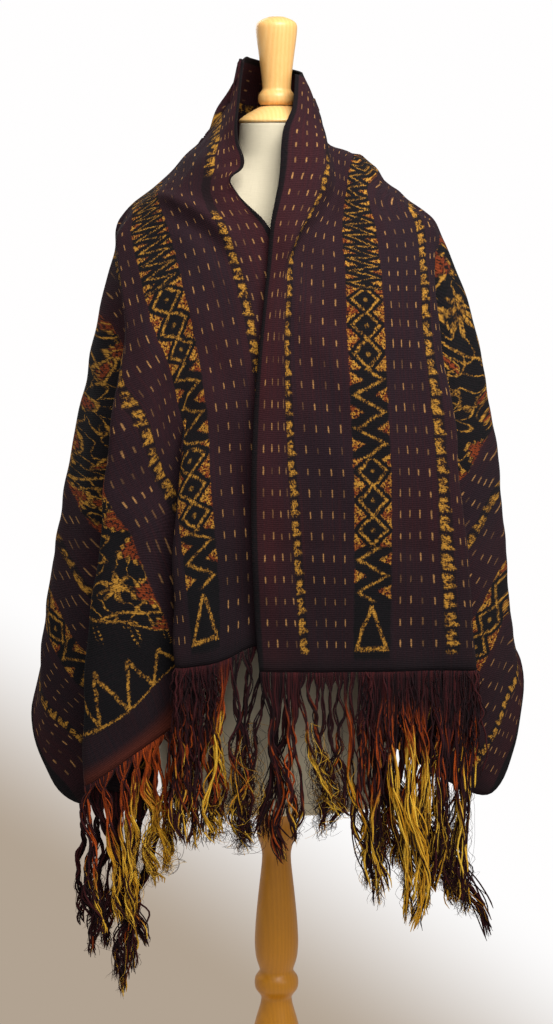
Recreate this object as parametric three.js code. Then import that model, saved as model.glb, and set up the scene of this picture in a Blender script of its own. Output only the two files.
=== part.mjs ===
// A fringed ikat shawl worn open over a limbless dress form on a turned pole.
// Millimetres, +Z up, the front faces -Y. The origin is the middle of the base's underside.

import * as THREE from 'three';

// ---------------------------------------------------------------- driving dimensions

const WALL = 2; // thickness of the shawl's cloth wall
const SEAM_GAP = 0.3; // clear gap between neighbouring pieces
const COLLAR_GAP = 0.1; // gap under the collar, as a part of one row
const FRINGE_DEPTH = 6; // thickness of a fringe's plain solid
const FOLD_GAPE = 12; // distance across a turned fold, front layer to back layer
const FOLD_START = 3; // the same distance where a fold begins
const FOLD_OPENING_DROP = 110; // how far below its beginning a fold has its whole gape
const FOLD_SEAM = 0.04; // each side of a seam that lies in a fold, as a part of the fold's turn
const SHOULDER_LEVEL = 1327; // height that every fall line passes half way down the cloth's rows
const UPPER_ROWS = 14; // rows of cloth from the collar's top edge to SHOULDER_LEVEL
const LOWER_ROWS = 10; // rows from SHOULDER_LEVEL to the lower edge
const COLLAR_ROWS = 5; // how many of the upper rows belong to the standing collar
const SPAN_STEP = 40; // wanted distance between neighbouring columns at the lower edge
const MOST_STEPS = 5; // most columns between two neighbouring fall lines

const ROUND_SIDES = 28; // facets round a turned piece
const TORSO_SIDES = 32; // facets round the torso

// ---------------------------------------------------------------- fall lines of the cloth

// Each line runs down the cloth from the collar's top edge to the lower edge. Its rows are its height
// z, its distance x to the right of the form's axis and its depth y. fringe is how low its tassels reach,
// and opens is the height below which the cloth turns back on itself there.
const ROW = { z: 0, x: 1, y: 2 };

const RIGHT_LINES = [
  {
    name: 'edge', fringe: 554,
    rows: [
      [1562, 25, -36], [1521, 21, -54], [1491, 9, -74], [1428, 3, -94], [1367, -8, -114],
      [1272, -16, -136], [1141, -28, -147], [1030, -32, -151], [892, -28, -151], [810, -22, -149],
    ],
  },
  {
    name: 'lapel_roll', fringe: 570,
    rows: [
      [1562, 29, -30], [1507, 55, -36], [1470, 64, -62], [1428, 66, -90], [1384, 46, -116],
      [1361, 29, -127], [1312, 8, -136], [1240, 0, -145], [1141, -2, -151], [810, 5, -153],
    ],
  },
  {
    name: 'lapel_valley', fringe: 585,
    rows: [
      [1563, 31, -24], [1507, 57, -26], [1474, 65, -38], [1428, 77, -64], [1384, 62, -90],
      [1361, 44, -108], [1312, 18, -130], [1240, 16, -146], [1141, 17, -151], [1030, 20, -152],
      [810, 33, -153],
    ],
  },
  {
    name: 'zigzag', fringe: 480,
    rows: [
      [1564, 33, -16], [1507, 57, -18], [1474, 65, -26], [1464, 82, -34], [1448, 95, -46],
      [1406, 98, -82], [1360, 104, -106], [1279, 109, -134], [1141, 115, -149], [1030, 119, -151],
      [810, 116, -152],
    ],
  },
  {
    name: 'outer_front', fringe: 460,
    rows: [
      [1565, 34, -10], [1507, 58, -12], [1474, 65, -16], [1464, 89, -26], [1448, 103, -36],
      [1400, 140, -70], [1360, 158, -88], [1279, 166, -118], [1141, 178, -136], [1030, 186, -139],
      [810, 194, -141],
    ],
  },
  {
    name: 'ridge', fringe: 475, opens: 1372,
    rows: [
      [1565, 34, -6], [1507, 58, -8], [1474, 65, -10], [1464, 92, -18], [1448, 109, -28],
      [1400, 162, -50], [1361, 202, -60], [1319, 201, -78], [1279, 202, -92], [1209, 210, -106],
      [1133, 223, -113], [1040, 234, -117], [946, 243, -119], [806, 256, -119],
    ],
  },
  {
    name: 'tuck', fringe: 500, opens: 1372,
    rows: [
      [1566, 34, -2], [1507, 58, -4], [1474, 65, -5], [1464, 94, -9], [1448, 113, -16],
      [1400, 166, -34], [1361, 199, -44], [1319, 189, -58], [1209, 170, -84], [1040, 148, -97],
      [946, 138, -98], [720, 122, -100],
    ],
  },
  {
    name: 'corner', fringe: 424,
    rows: [
      [1566, 34, 0], [1507, 58, -2], [1474, 65, -2], [1464, 96, -4], [1448, 116, -8], [1400, 170, -20],
      [1361, 206, -26], [1319, 212, -34], [1209, 226, -40], [1040, 250, -38], [946, 259, -36],
      [806, 274, -34], [616, 288, -28],
    ],
  },
  {
    name: 'hip', fringe: 0,
    rows: [
      [1566, 34, 1], [1507, 58, -1], [1474, 65, -1], [1464, 97, -2], [1448, 118, -4], [1400, 172, -10],
      [1361, 210, -12], [1319, 224, -12], [1209, 250, -4], [1040, 281, 2], [946, 290, 4],
      [806, 306, 4], [692, 323, 10],
    ],
  },
  {
    name: 'side', fringe: 0,
    rows: [
      [1566, 34, 2], [1540, 40, 1], [1519, 52, 0], [1484, 58, 0], [1471, 62, 0], [1461, 98, 0],
      [1448, 119, 0], [1431, 130, 0], [1416, 158, 0], [1402, 173, 0], [1385, 198, 0], [1376, 205, 0],
      [1353, 216, 2], [1327, 229, 10], [1283, 249, 20], [1209, 268, 30], [1129, 284, 38],
      [1046, 299, 42], [931, 309, 44], [868, 314, 44], [800, 322, 42], [782, 333, 38],
    ],
  },
  {
    name: 'rear_side', fringe: 0,
    rows: [
      [1568, 30, 22], [1519, 50, 30], [1484, 58, 36], [1461, 88, 40], [1431, 116, 46], [1402, 146, 52],
      [1376, 172, 56], [1327, 200, 66], [1209, 238, 98], [1046, 262, 112], [900, 274, 116],
      [845, 280, 114],
    ],
  },
  {
    name: 'rear', fringe: 0,
    rows: [
      [1572, 18, 40], [1519, 34, 56], [1484, 42, 66], [1448, 68, 80], [1402, 96, 96], [1327, 122, 118],
      [1209, 142, 146], [1046, 156, 156], [868, 164, 160],
    ],
  },
];

const BACK_LINE = {
  name: 'back', fringe: 0,
  rows: [
    [1578, -2, 48], [1519, 0, 64], [1484, 0, 74], [1448, 0, 88], [1402, 0, 106], [1327, 0, 126],
    [1209, 0, 140], [1046, 0, 146], [862, 0, 148],
  ],
};

const LEFT_LINES = [
  {
    name: 'edge', fringe: 568,
    rows: [
      [1579, -44, -22], [1526, -48, -40], [1499, -50, -53], [1473, -48, -66], [1456, -41, -76],
      [1447, -42, -80], [1430, -60, -88], [1367, -8, -104], [1242, 38, -128], [1100, 52, -136],
      [950, 46, -139], [842, 32, -139],
    ],
  },
  {
    name: 'inner_front', fringe: 572,
    rows: [
      [1580, -45, -19], [1526, -53, -33], [1499, -58, -46], [1473, -62, -58], [1447, -66, -74],
      [1420, -60, -88], [1367, -32, -104], [1242, 2, -128], [1100, -6, -138], [950, -14, -140],
      [842, -26, -139],
    ],
  },
  {
    name: 'minor_fold', fringe: 574,
    rows: [
      [1580, -46, -17], [1526, -57, -28], [1499, -66, -38], [1473, -76, -50], [1447, -86, -66],
      [1415, -86, -80], [1367, -72, -100], [1242, -54, -130], [1117, -76, -142], [952, -73, -145],
      [820, -72, -143],
    ],
  },
  {
    name: 'pleat', fringe: 568, opens: 1160,
    rows: [
      [1581, -46, -14], [1526, -60, -22], [1499, -73, -28], [1473, -88, -36], [1447, -106, -50],
      [1415, -116, -66], [1367, -114, -90], [1242, -106, -120], [1130, -114, -132], [1053, -122, -137],
      [977, -129, -140], [813, -130, -140],
    ],
  },
  {
    name: 'pleat_tuck', fringe: 560, opens: 1160,
    rows: [
      [1581, -46, -12], [1526, -61, -19], [1499, -75, -24], [1473, -91, -31], [1447, -110, -44],
      [1415, -126, -60], [1367, -124, -86], [1242, -116, -117], [1130, -120, -128], [1053, -118, -125],
      [977, -114, -122], [885, -108, -121], [750, -104, -121],
    ],
  },
  {
    name: 'outer_flap', fringe: 462,
    rows: [
      [1581, -45, -8], [1526, -61, -14], [1499, -78, -16], [1473, -97, -22], [1447, -118, -30],
      [1415, -142, -42], [1367, -152, -68], [1300, -152, -96], [1242, -152, -112], [1130, -158, -124],
      [1053, -164, -128], [977, -176, -130], [885, -186, -130], [692, -188, -126],
    ],
  },
  {
    name: 'ridge', fringe: 332, opens: 1322,
    rows: [
      [1582, -45, -6], [1526, -62, -9], [1499, -80, -10], [1473, -100, -13], [1447, -124, -18],
      [1415, -152, -24], [1384, -186, -28], [1348, -203, -38], [1300, -198, -72], [1240, -190, -92],
      [1177, -201, -104], [1119, -210, -109], [1057, -218, -111], [948, -226, -113], [879, -239, -113],
      [739, -247, -112], [651, -248, -110],
    ],
  },
  {
    name: 'tuck', fringe: 400, opens: 1322,
    rows: [
      [1583, -45, -4], [1526, -62, -6], [1499, -81, -6], [1473, -101, -8], [1447, -126, -12],
      [1415, -155, -15], [1384, -190, -19], [1348, -206, -24], [1300, -196, -50], [1240, -178, -76],
      [1177, -174, -88], [1057, -164, -94], [948, -158, -96], [824, -152, -96], [630, -158, -90],
    ],
  },
  {
    name: 'corner', fringe: 420,
    rows: [
      [1584, -44, -1], [1526, -63, -2], [1499, -82, -3], [1473, -102, -4], [1447, -128, -6],
      [1415, -158, -7], [1384, -194, -11], [1348, -208, -13], [1300, -208, -24], [1240, -208, -32],
      [1177, -220, -38], [1057, -238, -38], [948, -248, -38], [824, -260, -36], [700, -264, -32],
      [607, -268, -30],
    ],
  },
  {
    name: 'hip', fringe: 0,
    rows: [
      [1585, -43, 2], [1526, -63, 0], [1499, -83, -1], [1473, -104, -1], [1447, -130, -2],
      [1415, -160, -3], [1384, -198, -3], [1348, -208, -3], [1300, -217, -4], [1240, -230, -4],
      [1177, -242, -2], [1057, -264, 0], [948, -282, 2], [824, -300, 4], [700, -314, 4],
      [648, -313, 4],
    ],
  },
  {
    name: 'side', fringe: 0,
    rows: [
      [1587, -40, 6], [1541, -63, 2], [1519, -77, 0], [1493, -87, 0], [1483, -96, 0], [1444, -133, 0],
      [1415, -162, 0], [1404, -178, 0], [1384, -202, 0], [1376, -207, 0], [1348, -210, 2],
      [1327, -215, 8], [1293, -225, 14], [1262, -233, 20], [1209, -245, 28], [1168, -254, 32],
      [1117, -267, 36], [1028, -284, 40], [899, -305, 42], [794, -318, 42], [755, -324, 42],
      [716, -333, 38],
    ],
  },
  {
    name: 'rear_side', fringe: 0,
    rows: [
      [1586, -34, 22], [1541, -56, 28], [1493, -80, 36], [1444, -118, 44], [1404, -154, 50],
      [1376, -180, 56], [1327, -200, 66], [1209, -222, 98], [1046, -250, 112], [900, -274, 118],
      [830, -283, 116],
    ],
  },
  {
    name: 'rear', fringe: 0,
    rows: [
      [1583, -20, 40], [1519, -44, 56], [1484, -56, 66], [1448, -76, 80], [1402, -100, 96],
      [1327, -122, 118], [1209, -138, 146], [1046, -152, 156], [862, -166, 160],
    ],
  },
];

// ---------------------------------------------------------------- the form's sections and profiles

// Torso sections: height z, half width, depth in front of the axis and depth behind it.
const TORSO_SECTIONS = [
  { z: 604, half: 146, front: 84, back: 88 },
  { z: 612, half: 152, front: 90, back: 94 },
  { z: 700, half: 162, front: 92, back: 102 },
  { z: 820, half: 168, front: 92, back: 108 },
  { z: 900, half: 162, front: 90, back: 102 },
  { z: 980, half: 138, front: 86, back: 86 },
  { z: 1060, half: 118, front: 84, back: 74 },
  { z: 1130, half: 130, front: 94, back: 80 },
  { z: 1200, half: 150, front: 108, back: 90 },
  { z: 1250, half: 162, front: 106, back: 96 },
  { z: 1310, half: 172, front: 92, back: 98 },
  { z: 1350, half: 178, front: 80, back: 92 },
  { z: 1376, half: 172, front: 72, back: 84 },
  { z: 1396, half: 150, front: 66, back: 76 },
  { z: 1412, half: 122, front: 61, back: 70 },
  { z: 1428, half: 92, front: 56, back: 64 },
  { z: 1444, half: 66, front: 52, back: 57 },
  { z: 1462, half: 52, front: 49, back: 51 },
  { z: 1480, half: 49, front: 48, back: 48 },
  { z: 1501, half: 48, front: 47, back: 47 },
];

// Turned profiles: radius and height from top to bottom, each ending on the axis.
const CAP_PROFILE = [
  [0, 1524], [20, 1523], [30, 1518], [42, 1511], [48, 1506], [49, 1504], [48, 1501.3], [0, 1501.3],
];
const FINIAL_PROFILE = [
  [0, 1637], [10, 1636], [19, 1633], [25, 1629], [27, 1624], [26, 1612], [23, 1590], [21, 1574], [19, 1556],
  [18, 1544], [21, 1541], [24, 1536], [24, 1529], [21, 1524.3], [0, 1524.3],
];
const COLUMN_PROFILE = [
  [0, 603.7], [32, 603.7], [34, 598], [34, 590], [28, 584], [26, 574], [27, 556], [22, 544], [19, 530], [20, 514],
  [24, 480], [28, 440], [30, 406], [28, 384], [22, 368], [24, 364], [29, 358], [30, 350], [29, 342], [24, 336],
  [20, 330], [22, 318], [29, 296], [36, 262], [38, 236], [34, 204], [26, 174], [22, 150], [24, 140], [32, 134],
  [34, 126], [32, 118], [25, 112], [27, 96], [36, 78], [50, 66], [58, 58], [60, 50.3], [0, 50.3],
];
const BASE_PROFILE = [
  [0, 50], [96, 50], [112, 47], [122, 40], [128, 34], [160, 32], [178, 28], [188, 21], [192, 13], [190, 4],
  [186, 0], [0, 0],
];

// ---------------------------------------------------------------- materials

const COLOURS = {
  maroon: { color: 0x3e262a, roughness: 0.95, metalness: 0 },
  fringe: { color: 0x6a3a22, roughness: 0.95, metalness: 0 },
  linen: { color: 0xd7cdb4, roughness: 0.9, metalness: 0 },
  wood: { color: 0xd99b45, roughness: 0.45, metalness: 0 },
};

function makeMaterial(kind) {
  return new THREE.MeshStandardMaterial({ ...COLOURS[kind], flatShading: true });
}

// ---------------------------------------------------------------- interpolation down a fall line

// Slope of a monotone cubic at row i of a list of [z, value] pairs that runs down in z.
function rowSlope(pairs, i) {
  if (i === 0 || i === pairs.length - 1) {
    const [a, b] = i === 0 ? [pairs[0], pairs[1]] : [pairs[i - 1], pairs[i]];
    return (b[1] - a[1]) / (b[0] - a[0]);
  }
  const before = (pairs[i][1] - pairs[i - 1][1]) / (pairs[i][0] - pairs[i - 1][0]);
  const after = (pairs[i + 1][1] - pairs[i][1]) / (pairs[i + 1][0] - pairs[i][0]);
  return before * after <= 0 ? 0 : (2 * before * after) / (before + after);
}

function valueAt(pairs, z) {
  let i = 0;
  while (i < pairs.length - 2 && z < pairs[i + 1][0]) i += 1;
  const span = pairs[i + 1][0] - pairs[i][0];
  const t = THREE.MathUtils.clamp((z - pairs[i][0]) / span, 0, 1);
  const [v0, v1] = [pairs[i][1], pairs[i + 1][1]];
  const [m0, m1] = [rowSlope(pairs, i) * span, rowSlope(pairs, i + 1) * span];
  const t2 = t * t;
  const t3 = t2 * t;
  return (2 * t3 - 3 * t2 + 1) * v0 + (t3 - 2 * t2 + t) * m0 + (3 * t2 - 2 * t3) * v1 + (t3 - t2) * m1;
}

// The height of row j on a line: upper rows share out the way down to SHOULDER_LEVEL, lower rows the rest.
function rowHeight(rows, j) {
  const top = rows[0][ROW.z];
  const bottom = rows[rows.length - 1][ROW.z];
  if (j <= UPPER_ROWS) return THREE.MathUtils.lerp(top, SHOULDER_LEVEL, j / UPPER_ROWS);
  return THREE.MathUtils.lerp(SHOULDER_LEVEL, bottom, (j - UPPER_ROWS) / LOWER_ROWS);
}

function pointOnLine(line, j) {
  const z = rowHeight(line.rows, j);
  const x = valueAt(line.rows.map((row) => [row[ROW.z], row[ROW.x]]), z);
  const y = valueAt(line.rows.map((row) => [row[ROW.z], row[ROW.y]]), z);
  return new THREE.Vector3(x, y, z);
}

// Where a fold line's two layers stand: side by side along the section above the fold's beginning, and
// one behind the other below it.
function foldLayers(before, line, after, j) {
  const middle = pointOnLine(line, j);
  const along = pointOnLine(after, j).sub(pointOnLine(before, j)).setZ(0).normalize();
  const opened = THREE.MathUtils.smoothstep(line.opens - middle.z, 0, FOLD_OPENING_DROP);
  const behind = new THREE.Vector3(0, line.side === 'right' ? 1 : -1, 0);
  const half = along.lerp(behind, opened).setLength(THREE.MathUtils.lerp(FOLD_START, FOLD_GAPE, opened) / 2);
  return [middle.clone().sub(half), middle.add(half)];
}

// ---------------------------------------------------------------- the whole cloth as columns of points

const LINES = [
  ...RIGHT_LINES.map((line) => ({ ...line, side: 'right' })),
  { ...BACK_LINE, side: 'back' },
  ...LEFT_LINES.toReversed().map((line) => ({ ...line, side: 'left' })),
];

// A fold line stands twice, once for each of its layers, so the section turns round it.
const STATIONS = LINES.flatMap((line) => {
  const key = `${line.side}_${line.name}`;
  return line.opens ? [{ ...line, key }, { ...line, key: `${key}_turned` }] : [{ ...line, key }];
});

function rowPoints(j) {
  return LINES.flatMap((line, k) => (
    line.opens ? foldLayers(LINES[k - 1], line, LINES[k + 1], j) : [pointOnLine(line, j)]
  ));
}

// Columns between stations: more where the lower edge is longer.
function columnPlan() {
  const feet = rowPoints(UPPER_ROWS + LOWER_ROWS);
  const plan = [];
  for (let k = 0; k < feet.length - 1; k += 1) {
    const wanted = Math.round(feet[k].distanceTo(feet[k + 1]) / SPAN_STEP);
    const steps = THREE.MathUtils.clamp(wanted, 1, MOST_STEPS);
    for (let step = 0; step < steps; step += 1) plan.push(k + step / steps);
  }
  plan.push(feet.length - 1);
  return plan;
}

const CURVES = Array.from({ length: UPPER_ROWS + LOWER_ROWS + 1 }, (_, j) => (
  new THREE.CatmullRomCurve3(rowPoints(j), false, 'centripetal')
));
const PLAN = columnPlan();

function stationIndex(key) {
  return STATIONS.findIndex((station) => station.key === key);
}

function clothPoint(s, j) {
  const whole = Math.min(Math.floor(j), CURVES.length - 2);
  const t = s / (STATIONS.length - 1);
  return CURVES[whole].getPoint(t).lerp(CURVES[whole + 1].getPoint(t), j - whole);
}

// Outward normal: across the cloth's columns and down its rows.
function clothNormal(s, j) {
  const ds = 0.12;
  const dj = 0.4;
  const last = CURVES.length - 1;
  const across = clothPoint(Math.min(s + ds, STATIONS.length - 1), j).sub(clothPoint(Math.max(s - ds, 0), j));
  const down = clothPoint(s, Math.min(j + dj, last)).sub(clothPoint(s, Math.max(j - dj, 0)));
  return down.cross(across).normalize();
}

// ---------------------------------------------------------------- closed walls

// A closed solid from two equal grids of points, the outer skin and the inner one.
function closedGrid(outer, inner) {
  const columns = outer.length;
  const rows = outer[0].length;
  const positions = [];
  for (const skin of [outer, inner]) {
    for (const column of skin) {
      for (const point of column) positions.push(point.x, point.y, point.z);
    }
  }
  const at = (layer, i, j) => layer * columns * rows + i * rows + j;
  const faces = [];
  const quad = (a, b, c, d) => faces.push(a, b, c, a, c, d);
  for (let i = 0; i < columns - 1; i += 1) {
    for (let j = 0; j < rows - 1; j += 1) {
      quad(at(0, i, j), at(0, i, j + 1), at(0, i + 1, j + 1), at(0, i + 1, j));
      quad(at(1, i, j), at(1, i + 1, j), at(1, i + 1, j + 1), at(1, i, j + 1));
    }
    quad(at(0, i, 0), at(0, i + 1, 0), at(1, i + 1, 0), at(1, i, 0));
    quad(at(0, i, rows - 1), at(1, i, rows - 1), at(1, i + 1, rows - 1), at(0, i + 1, rows - 1));
  }
  for (let j = 0; j < rows - 1; j += 1) {
    quad(at(0, 0, j), at(1, 0, j), at(1, 0, j + 1), at(0, 0, j + 1));
    quad(at(0, columns - 1, j), at(0, columns - 1, j + 1), at(1, columns - 1, j + 1), at(1, columns - 1, j));
  }
  const geometry = new THREE.BufferGeometry();
  geometry.setAttribute('position', new THREE.Float32BufferAttribute(positions, 3));
  geometry.setIndex(faces);
  return geometry;
}

// Where a stretch begins or ends: at the cloth's own edge, in the middle of a fold, or at a fall line.
function seamPlace(key, direction) {
  const index = stationIndex(key);
  if (index === 0 || index === STATIONS.length - 1) return index;
  if (STATIONS[index].opens) return index + 0.5 + direction * FOLD_SEAM;
  const lowest = CURVES.length - 1;
  const reach = clothPoint(index, lowest).distanceTo(clothPoint(index + direction, lowest));
  return index + (direction * SEAM_GAP) / reach;
}

function stretchColumns(fromKey, toKey) {
  const start = seamPlace(fromKey, 1);
  const end = seamPlace(toKey, -1);
  return [start, ...PLAN.filter((s) => s > start && s < end), end];
}

function clothWall(columns, rows) {
  const outer = columns.map((s) => rows.map((j) => clothPoint(s, j)));
  const inner = columns.map((s, i) => rows.map((j, n) => (
    outer[i][n].clone().addScaledVector(clothNormal(s, j), -WALL)
  )));
  return closedGrid(outer, inner);
}

function rowRange(from, to) {
  return Array.from({ length: to - from + 1 }, (_, n) => from + n);
}

// The fringe of a stretch: a slab under the hem, down to its tassels' reach.
function fringeSlab(columns) {
  const lowest = CURVES.length - 1;
  const levels = [
    { drop: 0, depth: WALL },
    { drop: 0.12, depth: FRINGE_DEPTH },
    { drop: 1, depth: FRINGE_DEPTH },
  ];
  const skins = [1, -1].map((face) => columns.map((s) => {
    const hem = clothPoint(s, lowest);
    const normal = clothNormal(s, lowest).setZ(0).normalize();
    hem.addScaledVector(normal, -WALL / 2);
    return levels.map(({ drop, depth }) => hem.clone().addScaledVector(normal, (face * depth) / 2)
      .setZ(THREE.MathUtils.lerp(hem.z - 2 * SEAM_GAP, fringeReach(s), drop)));
  }));
  return closedGrid(skins[0], skins[1]);
}

function fringeReach(s) {
  const k = Math.min(Math.floor(s), STATIONS.length - 2);
  return THREE.MathUtils.lerp(STATIONS[k].fringe, STATIONS[k + 1].fringe, s - k);
}

// ---------------------------------------------------------------- the form

function torsoGeometry() {
  const ring = (section) => Array.from({ length: TORSO_SIDES }, (_, i) => {
    const angle = (2 * Math.PI * i) / TORSO_SIDES;
    const depth = Math.sin(angle) < 0 ? section.front : section.back;
    return [section.half * Math.cos(angle), depth * Math.sin(angle), section.z];
  });
  const positions = TORSO_SECTIONS.flatMap((section) => ring(section).flat());
  const lowest = TORSO_SECTIONS[0];
  const highest = TORSO_SECTIONS[TORSO_SECTIONS.length - 1];
  positions.push(0, 0, lowest.z, 0, 0, highest.z);
  const bottomCentre = TORSO_SECTIONS.length * TORSO_SIDES;
  const topCentre = bottomCentre + 1;
  const faces = [];
  for (let i = 0; i < TORSO_SIDES; i += 1) {
    const next = (i + 1) % TORSO_SIDES;
    for (let level = 0; level < TORSO_SECTIONS.length - 1; level += 1) {
      const below = level * TORSO_SIDES;
      const above = below + TORSO_SIDES;
      faces.push(below + i, below + next, above + next, below + i, above + next, above + i);
    }
    const rim = (TORSO_SECTIONS.length - 1) * TORSO_SIDES;
    faces.push(bottomCentre, next, i, topCentre, rim + i, rim + next);
  }
  const geometry = new THREE.BufferGeometry();
  geometry.setAttribute('position', new THREE.Float32BufferAttribute(positions, 3));
  geometry.setIndex(faces);
  return geometry;
}

function turnedGeometry(profile) {
  const points = profile.toReversed().map(([radius, height]) => new THREE.Vector2(radius, height));
  return new THREE.LatheGeometry(points, ROUND_SIDES).rotateX(Math.PI / 2);
}

// ---------------------------------------------------------------- assembly

const LAST_ROW = CURVES.length - 1;

// Stretches of the cloth: name, first and last station, and the first row under the collar.
const STRETCHES = [
  { name: 'shawl_right_front', from: 'right_edge', to: 'right_ridge' },
  { name: 'shawl_right_side', from: 'right_ridge', to: 'right_rear_side' },
  { name: 'shawl_back', from: 'right_rear_side', to: 'left_rear_side' },
  { name: 'shawl_left_side', from: 'left_rear_side', to: 'left_ridge' },
  { name: 'shawl_left_flap', from: 'left_ridge', to: 'left_pleat' },
  { name: 'shawl_left_front', from: 'left_pleat', to: 'left_edge' },
];

const FRINGES = [
  { name: 'fringe_right_front', from: 'right_edge', to: 'right_ridge' },
  { name: 'fringe_right_side', from: 'right_ridge', to: 'right_corner' },
  { name: 'fringe_left_side', from: 'left_corner', to: 'left_ridge' },
  { name: 'fringe_left_flap', from: 'left_ridge', to: 'left_pleat' },
  { name: 'fringe_left_front', from: 'left_pleat', to: 'left_edge' },
];

const TURNED = [
  { name: 'form_neck_cap', profile: CAP_PROFILE },
  { name: 'form_finial', profile: FINIAL_PROFILE },
  { name: 'form_column', profile: COLUMN_PROFILE },
  { name: 'form_base', profile: BASE_PROFILE },
];

const root = new THREE.Group();

function addMesh(name, geometry, kind) {
  const mesh = new THREE.Mesh(geometry, makeMaterial(kind));
  mesh.name = name;
  root.add(mesh);
}

function addCollar() {
  const columns = stretchColumns('right_edge', 'left_edge').filter(Number.isInteger);
  addMesh('shawl_collar', clothWall(columns, rowRange(0, COLLAR_ROWS)), 'maroon');
}

addCollar();
for (const { name, from, to } of STRETCHES) {
  const rows = rowRange(COLLAR_ROWS, LAST_ROW);
  rows[0] += COLLAR_GAP;
  addMesh(name, clothWall(stretchColumns(from, to), rows), 'maroon');
}
for (const { name, from, to } of FRINGES) {
  addMesh(name, fringeSlab(stretchColumns(from, to)), 'fringe');
}
addMesh('form_torso', torsoGeometry(), 'linen');
for (const { name, profile } of TURNED) addMesh(name, turnedGeometry(profile), 'wood');

export default root;
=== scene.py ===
"""A fringed ikat shawl worn open over a limbless dress form on a turned pole.

Metres, +Z up, the front faces -Y. Tables are in millimetres, as the CAD model is.
"""

import math

import bpy
import numpy as np
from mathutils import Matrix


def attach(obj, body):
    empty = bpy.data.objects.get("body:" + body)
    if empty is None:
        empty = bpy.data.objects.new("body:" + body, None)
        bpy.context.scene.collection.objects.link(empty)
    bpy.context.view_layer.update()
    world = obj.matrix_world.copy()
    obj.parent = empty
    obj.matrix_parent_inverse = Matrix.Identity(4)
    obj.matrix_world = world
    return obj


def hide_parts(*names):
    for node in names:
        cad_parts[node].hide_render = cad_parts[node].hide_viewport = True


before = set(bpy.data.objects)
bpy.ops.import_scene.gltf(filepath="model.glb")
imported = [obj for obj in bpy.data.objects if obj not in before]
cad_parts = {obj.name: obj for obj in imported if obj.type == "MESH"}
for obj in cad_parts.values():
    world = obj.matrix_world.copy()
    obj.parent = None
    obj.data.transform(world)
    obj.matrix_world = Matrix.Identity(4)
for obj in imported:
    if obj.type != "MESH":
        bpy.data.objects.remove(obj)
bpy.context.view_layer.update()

MM = 0.001


def table(text):
    """Rows of numbers: blanks between the numbers, commas between the rows."""
    return [[float(number) for number in row.split()] for row in text.split(",")]


def add_object(name, data):
    made = bpy.data.objects.new(name, data)
    bpy.context.collection.objects.link(made)
    return made


# ------------------------------------------------------------------ camera, floor and light

CAMERA_DISTANCE = 3.0
CAMERA_HEIGHT = 1.4
CAMERA_PITCH = 7.7  # degrees below the horizontal
CAMERA_LENS = 80.5
FLOOR_RADIUS, FLOOR_SIDES = 0.7, 96
LIGHT_WARM, LIGHT_WHITE = (1, 0.975, 0.95), (1, 0.99, 0.98)
ROOM_LIGHT = 0.4
FADE = (-0.345, -0.235)  # the slant level of the backdrop's painted shade, from its warm grey to its white


def make_camera():
    data = bpy.data.cameras.new("camera")
    data.lens = CAMERA_LENS
    data.sensor_width = 36
    data.sensor_fit = "AUTO"
    camera = add_object("camera", data)
    camera.location = (0, -CAMERA_DISTANCE, CAMERA_HEIGHT)
    camera.rotation_euler = (math.radians(90 - CAMERA_PITCH), 0, 0)
    bpy.context.scene.camera = camera


def area_light(name, location, target, size, power, colour):
    data = bpy.data.lights.new(name, "AREA")
    data.shape = "RECTANGLE"
    data.size, data.size_y = size
    data.energy = power
    data.color = colour
    lamp = add_object(name, data)
    lamp.location = location
    offset = np.array(target) - np.array(location)
    flat = math.hypot(offset[0], offset[1])
    lamp.rotation_euler = (math.atan2(flat, -offset[2]), 0, math.atan2(-offset[0], offset[1]))


def make_stage():
    bpy.context.scene.view_settings.view_transform = "Standard"
    area_light("key", (0.5, -1.2, 2.75), (0, 0, 1.45), (1.2, 0.9), 47, LIGHT_WARM)
    area_light("fill", (1.8, -2.3, 2.1), (0, 0, 1.1), (1.6, 1.6), 15, LIGHT_WHITE)
    area_light("back_fill", (-1.2, 2.2, 2.4), (0, 0, 1.1), (1.6, 1.6), 22, LIGHT_WHITE)

    # A round pale floor, small enough that the photograph's frame passes behind it.
    turns = [k * math.pi / (FLOOR_SIDES / 2) for k in range(FLOOR_SIDES)]
    rim = [(math.cos(turn) * FLOOR_RADIUS, math.sin(turn) * FLOOR_RADIUS, 0.0) for turn in turns]
    mesh = bpy.data.meshes.new("studio_floor")
    mesh.from_pydata(rim, [], [tuple(range(FLOOR_SIDES))])
    material, _, shader = new_material("studio_paper", 0.95)
    shader.inputs["Base Color"].default_value = rgb(226, 216, 206)
    mesh.materials.append(material)
    floor = add_object("studio_floor", mesh)

    # The room's light is even. Past the form the camera sees a white backdrop with painted shade, a warm
    # grey low on the left.
    world = bpy.data.worlds.new("studio")
    bpy.context.scene.world = world
    world.use_nodes = True
    tree = world.node_tree
    even = tree.nodes["Background"]
    even.inputs["Color"].default_value = (*LIGHT_WHITE, 1)
    even.inputs["Strength"].default_value = ROOM_LIGHT
    x, _, z = split(tree, add_node(tree, "TexCoord").outputs["Generated"])
    # Painted shade on the backdrop: white above, fading to a warm grey low on the left.
    paper = blend((z + x * 0.6).ramp(*FADE), rgb(177, 162, 145), rgb(255, 254, 254))
    seen = add_node(tree, "Background", {"Color": paper})
    ray = add_node(tree, "LightPath").outputs["Is Camera Ray"]
    both = add_node(tree, "MixShader", {0: ray, 1: even.outputs[0], 2: seen.outputs[0]})
    tree.links.new(both.outputs[0], tree.nodes["World Output"].inputs["Surface"])


# ------------------------------------------------------------------ arithmetic for materials


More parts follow.
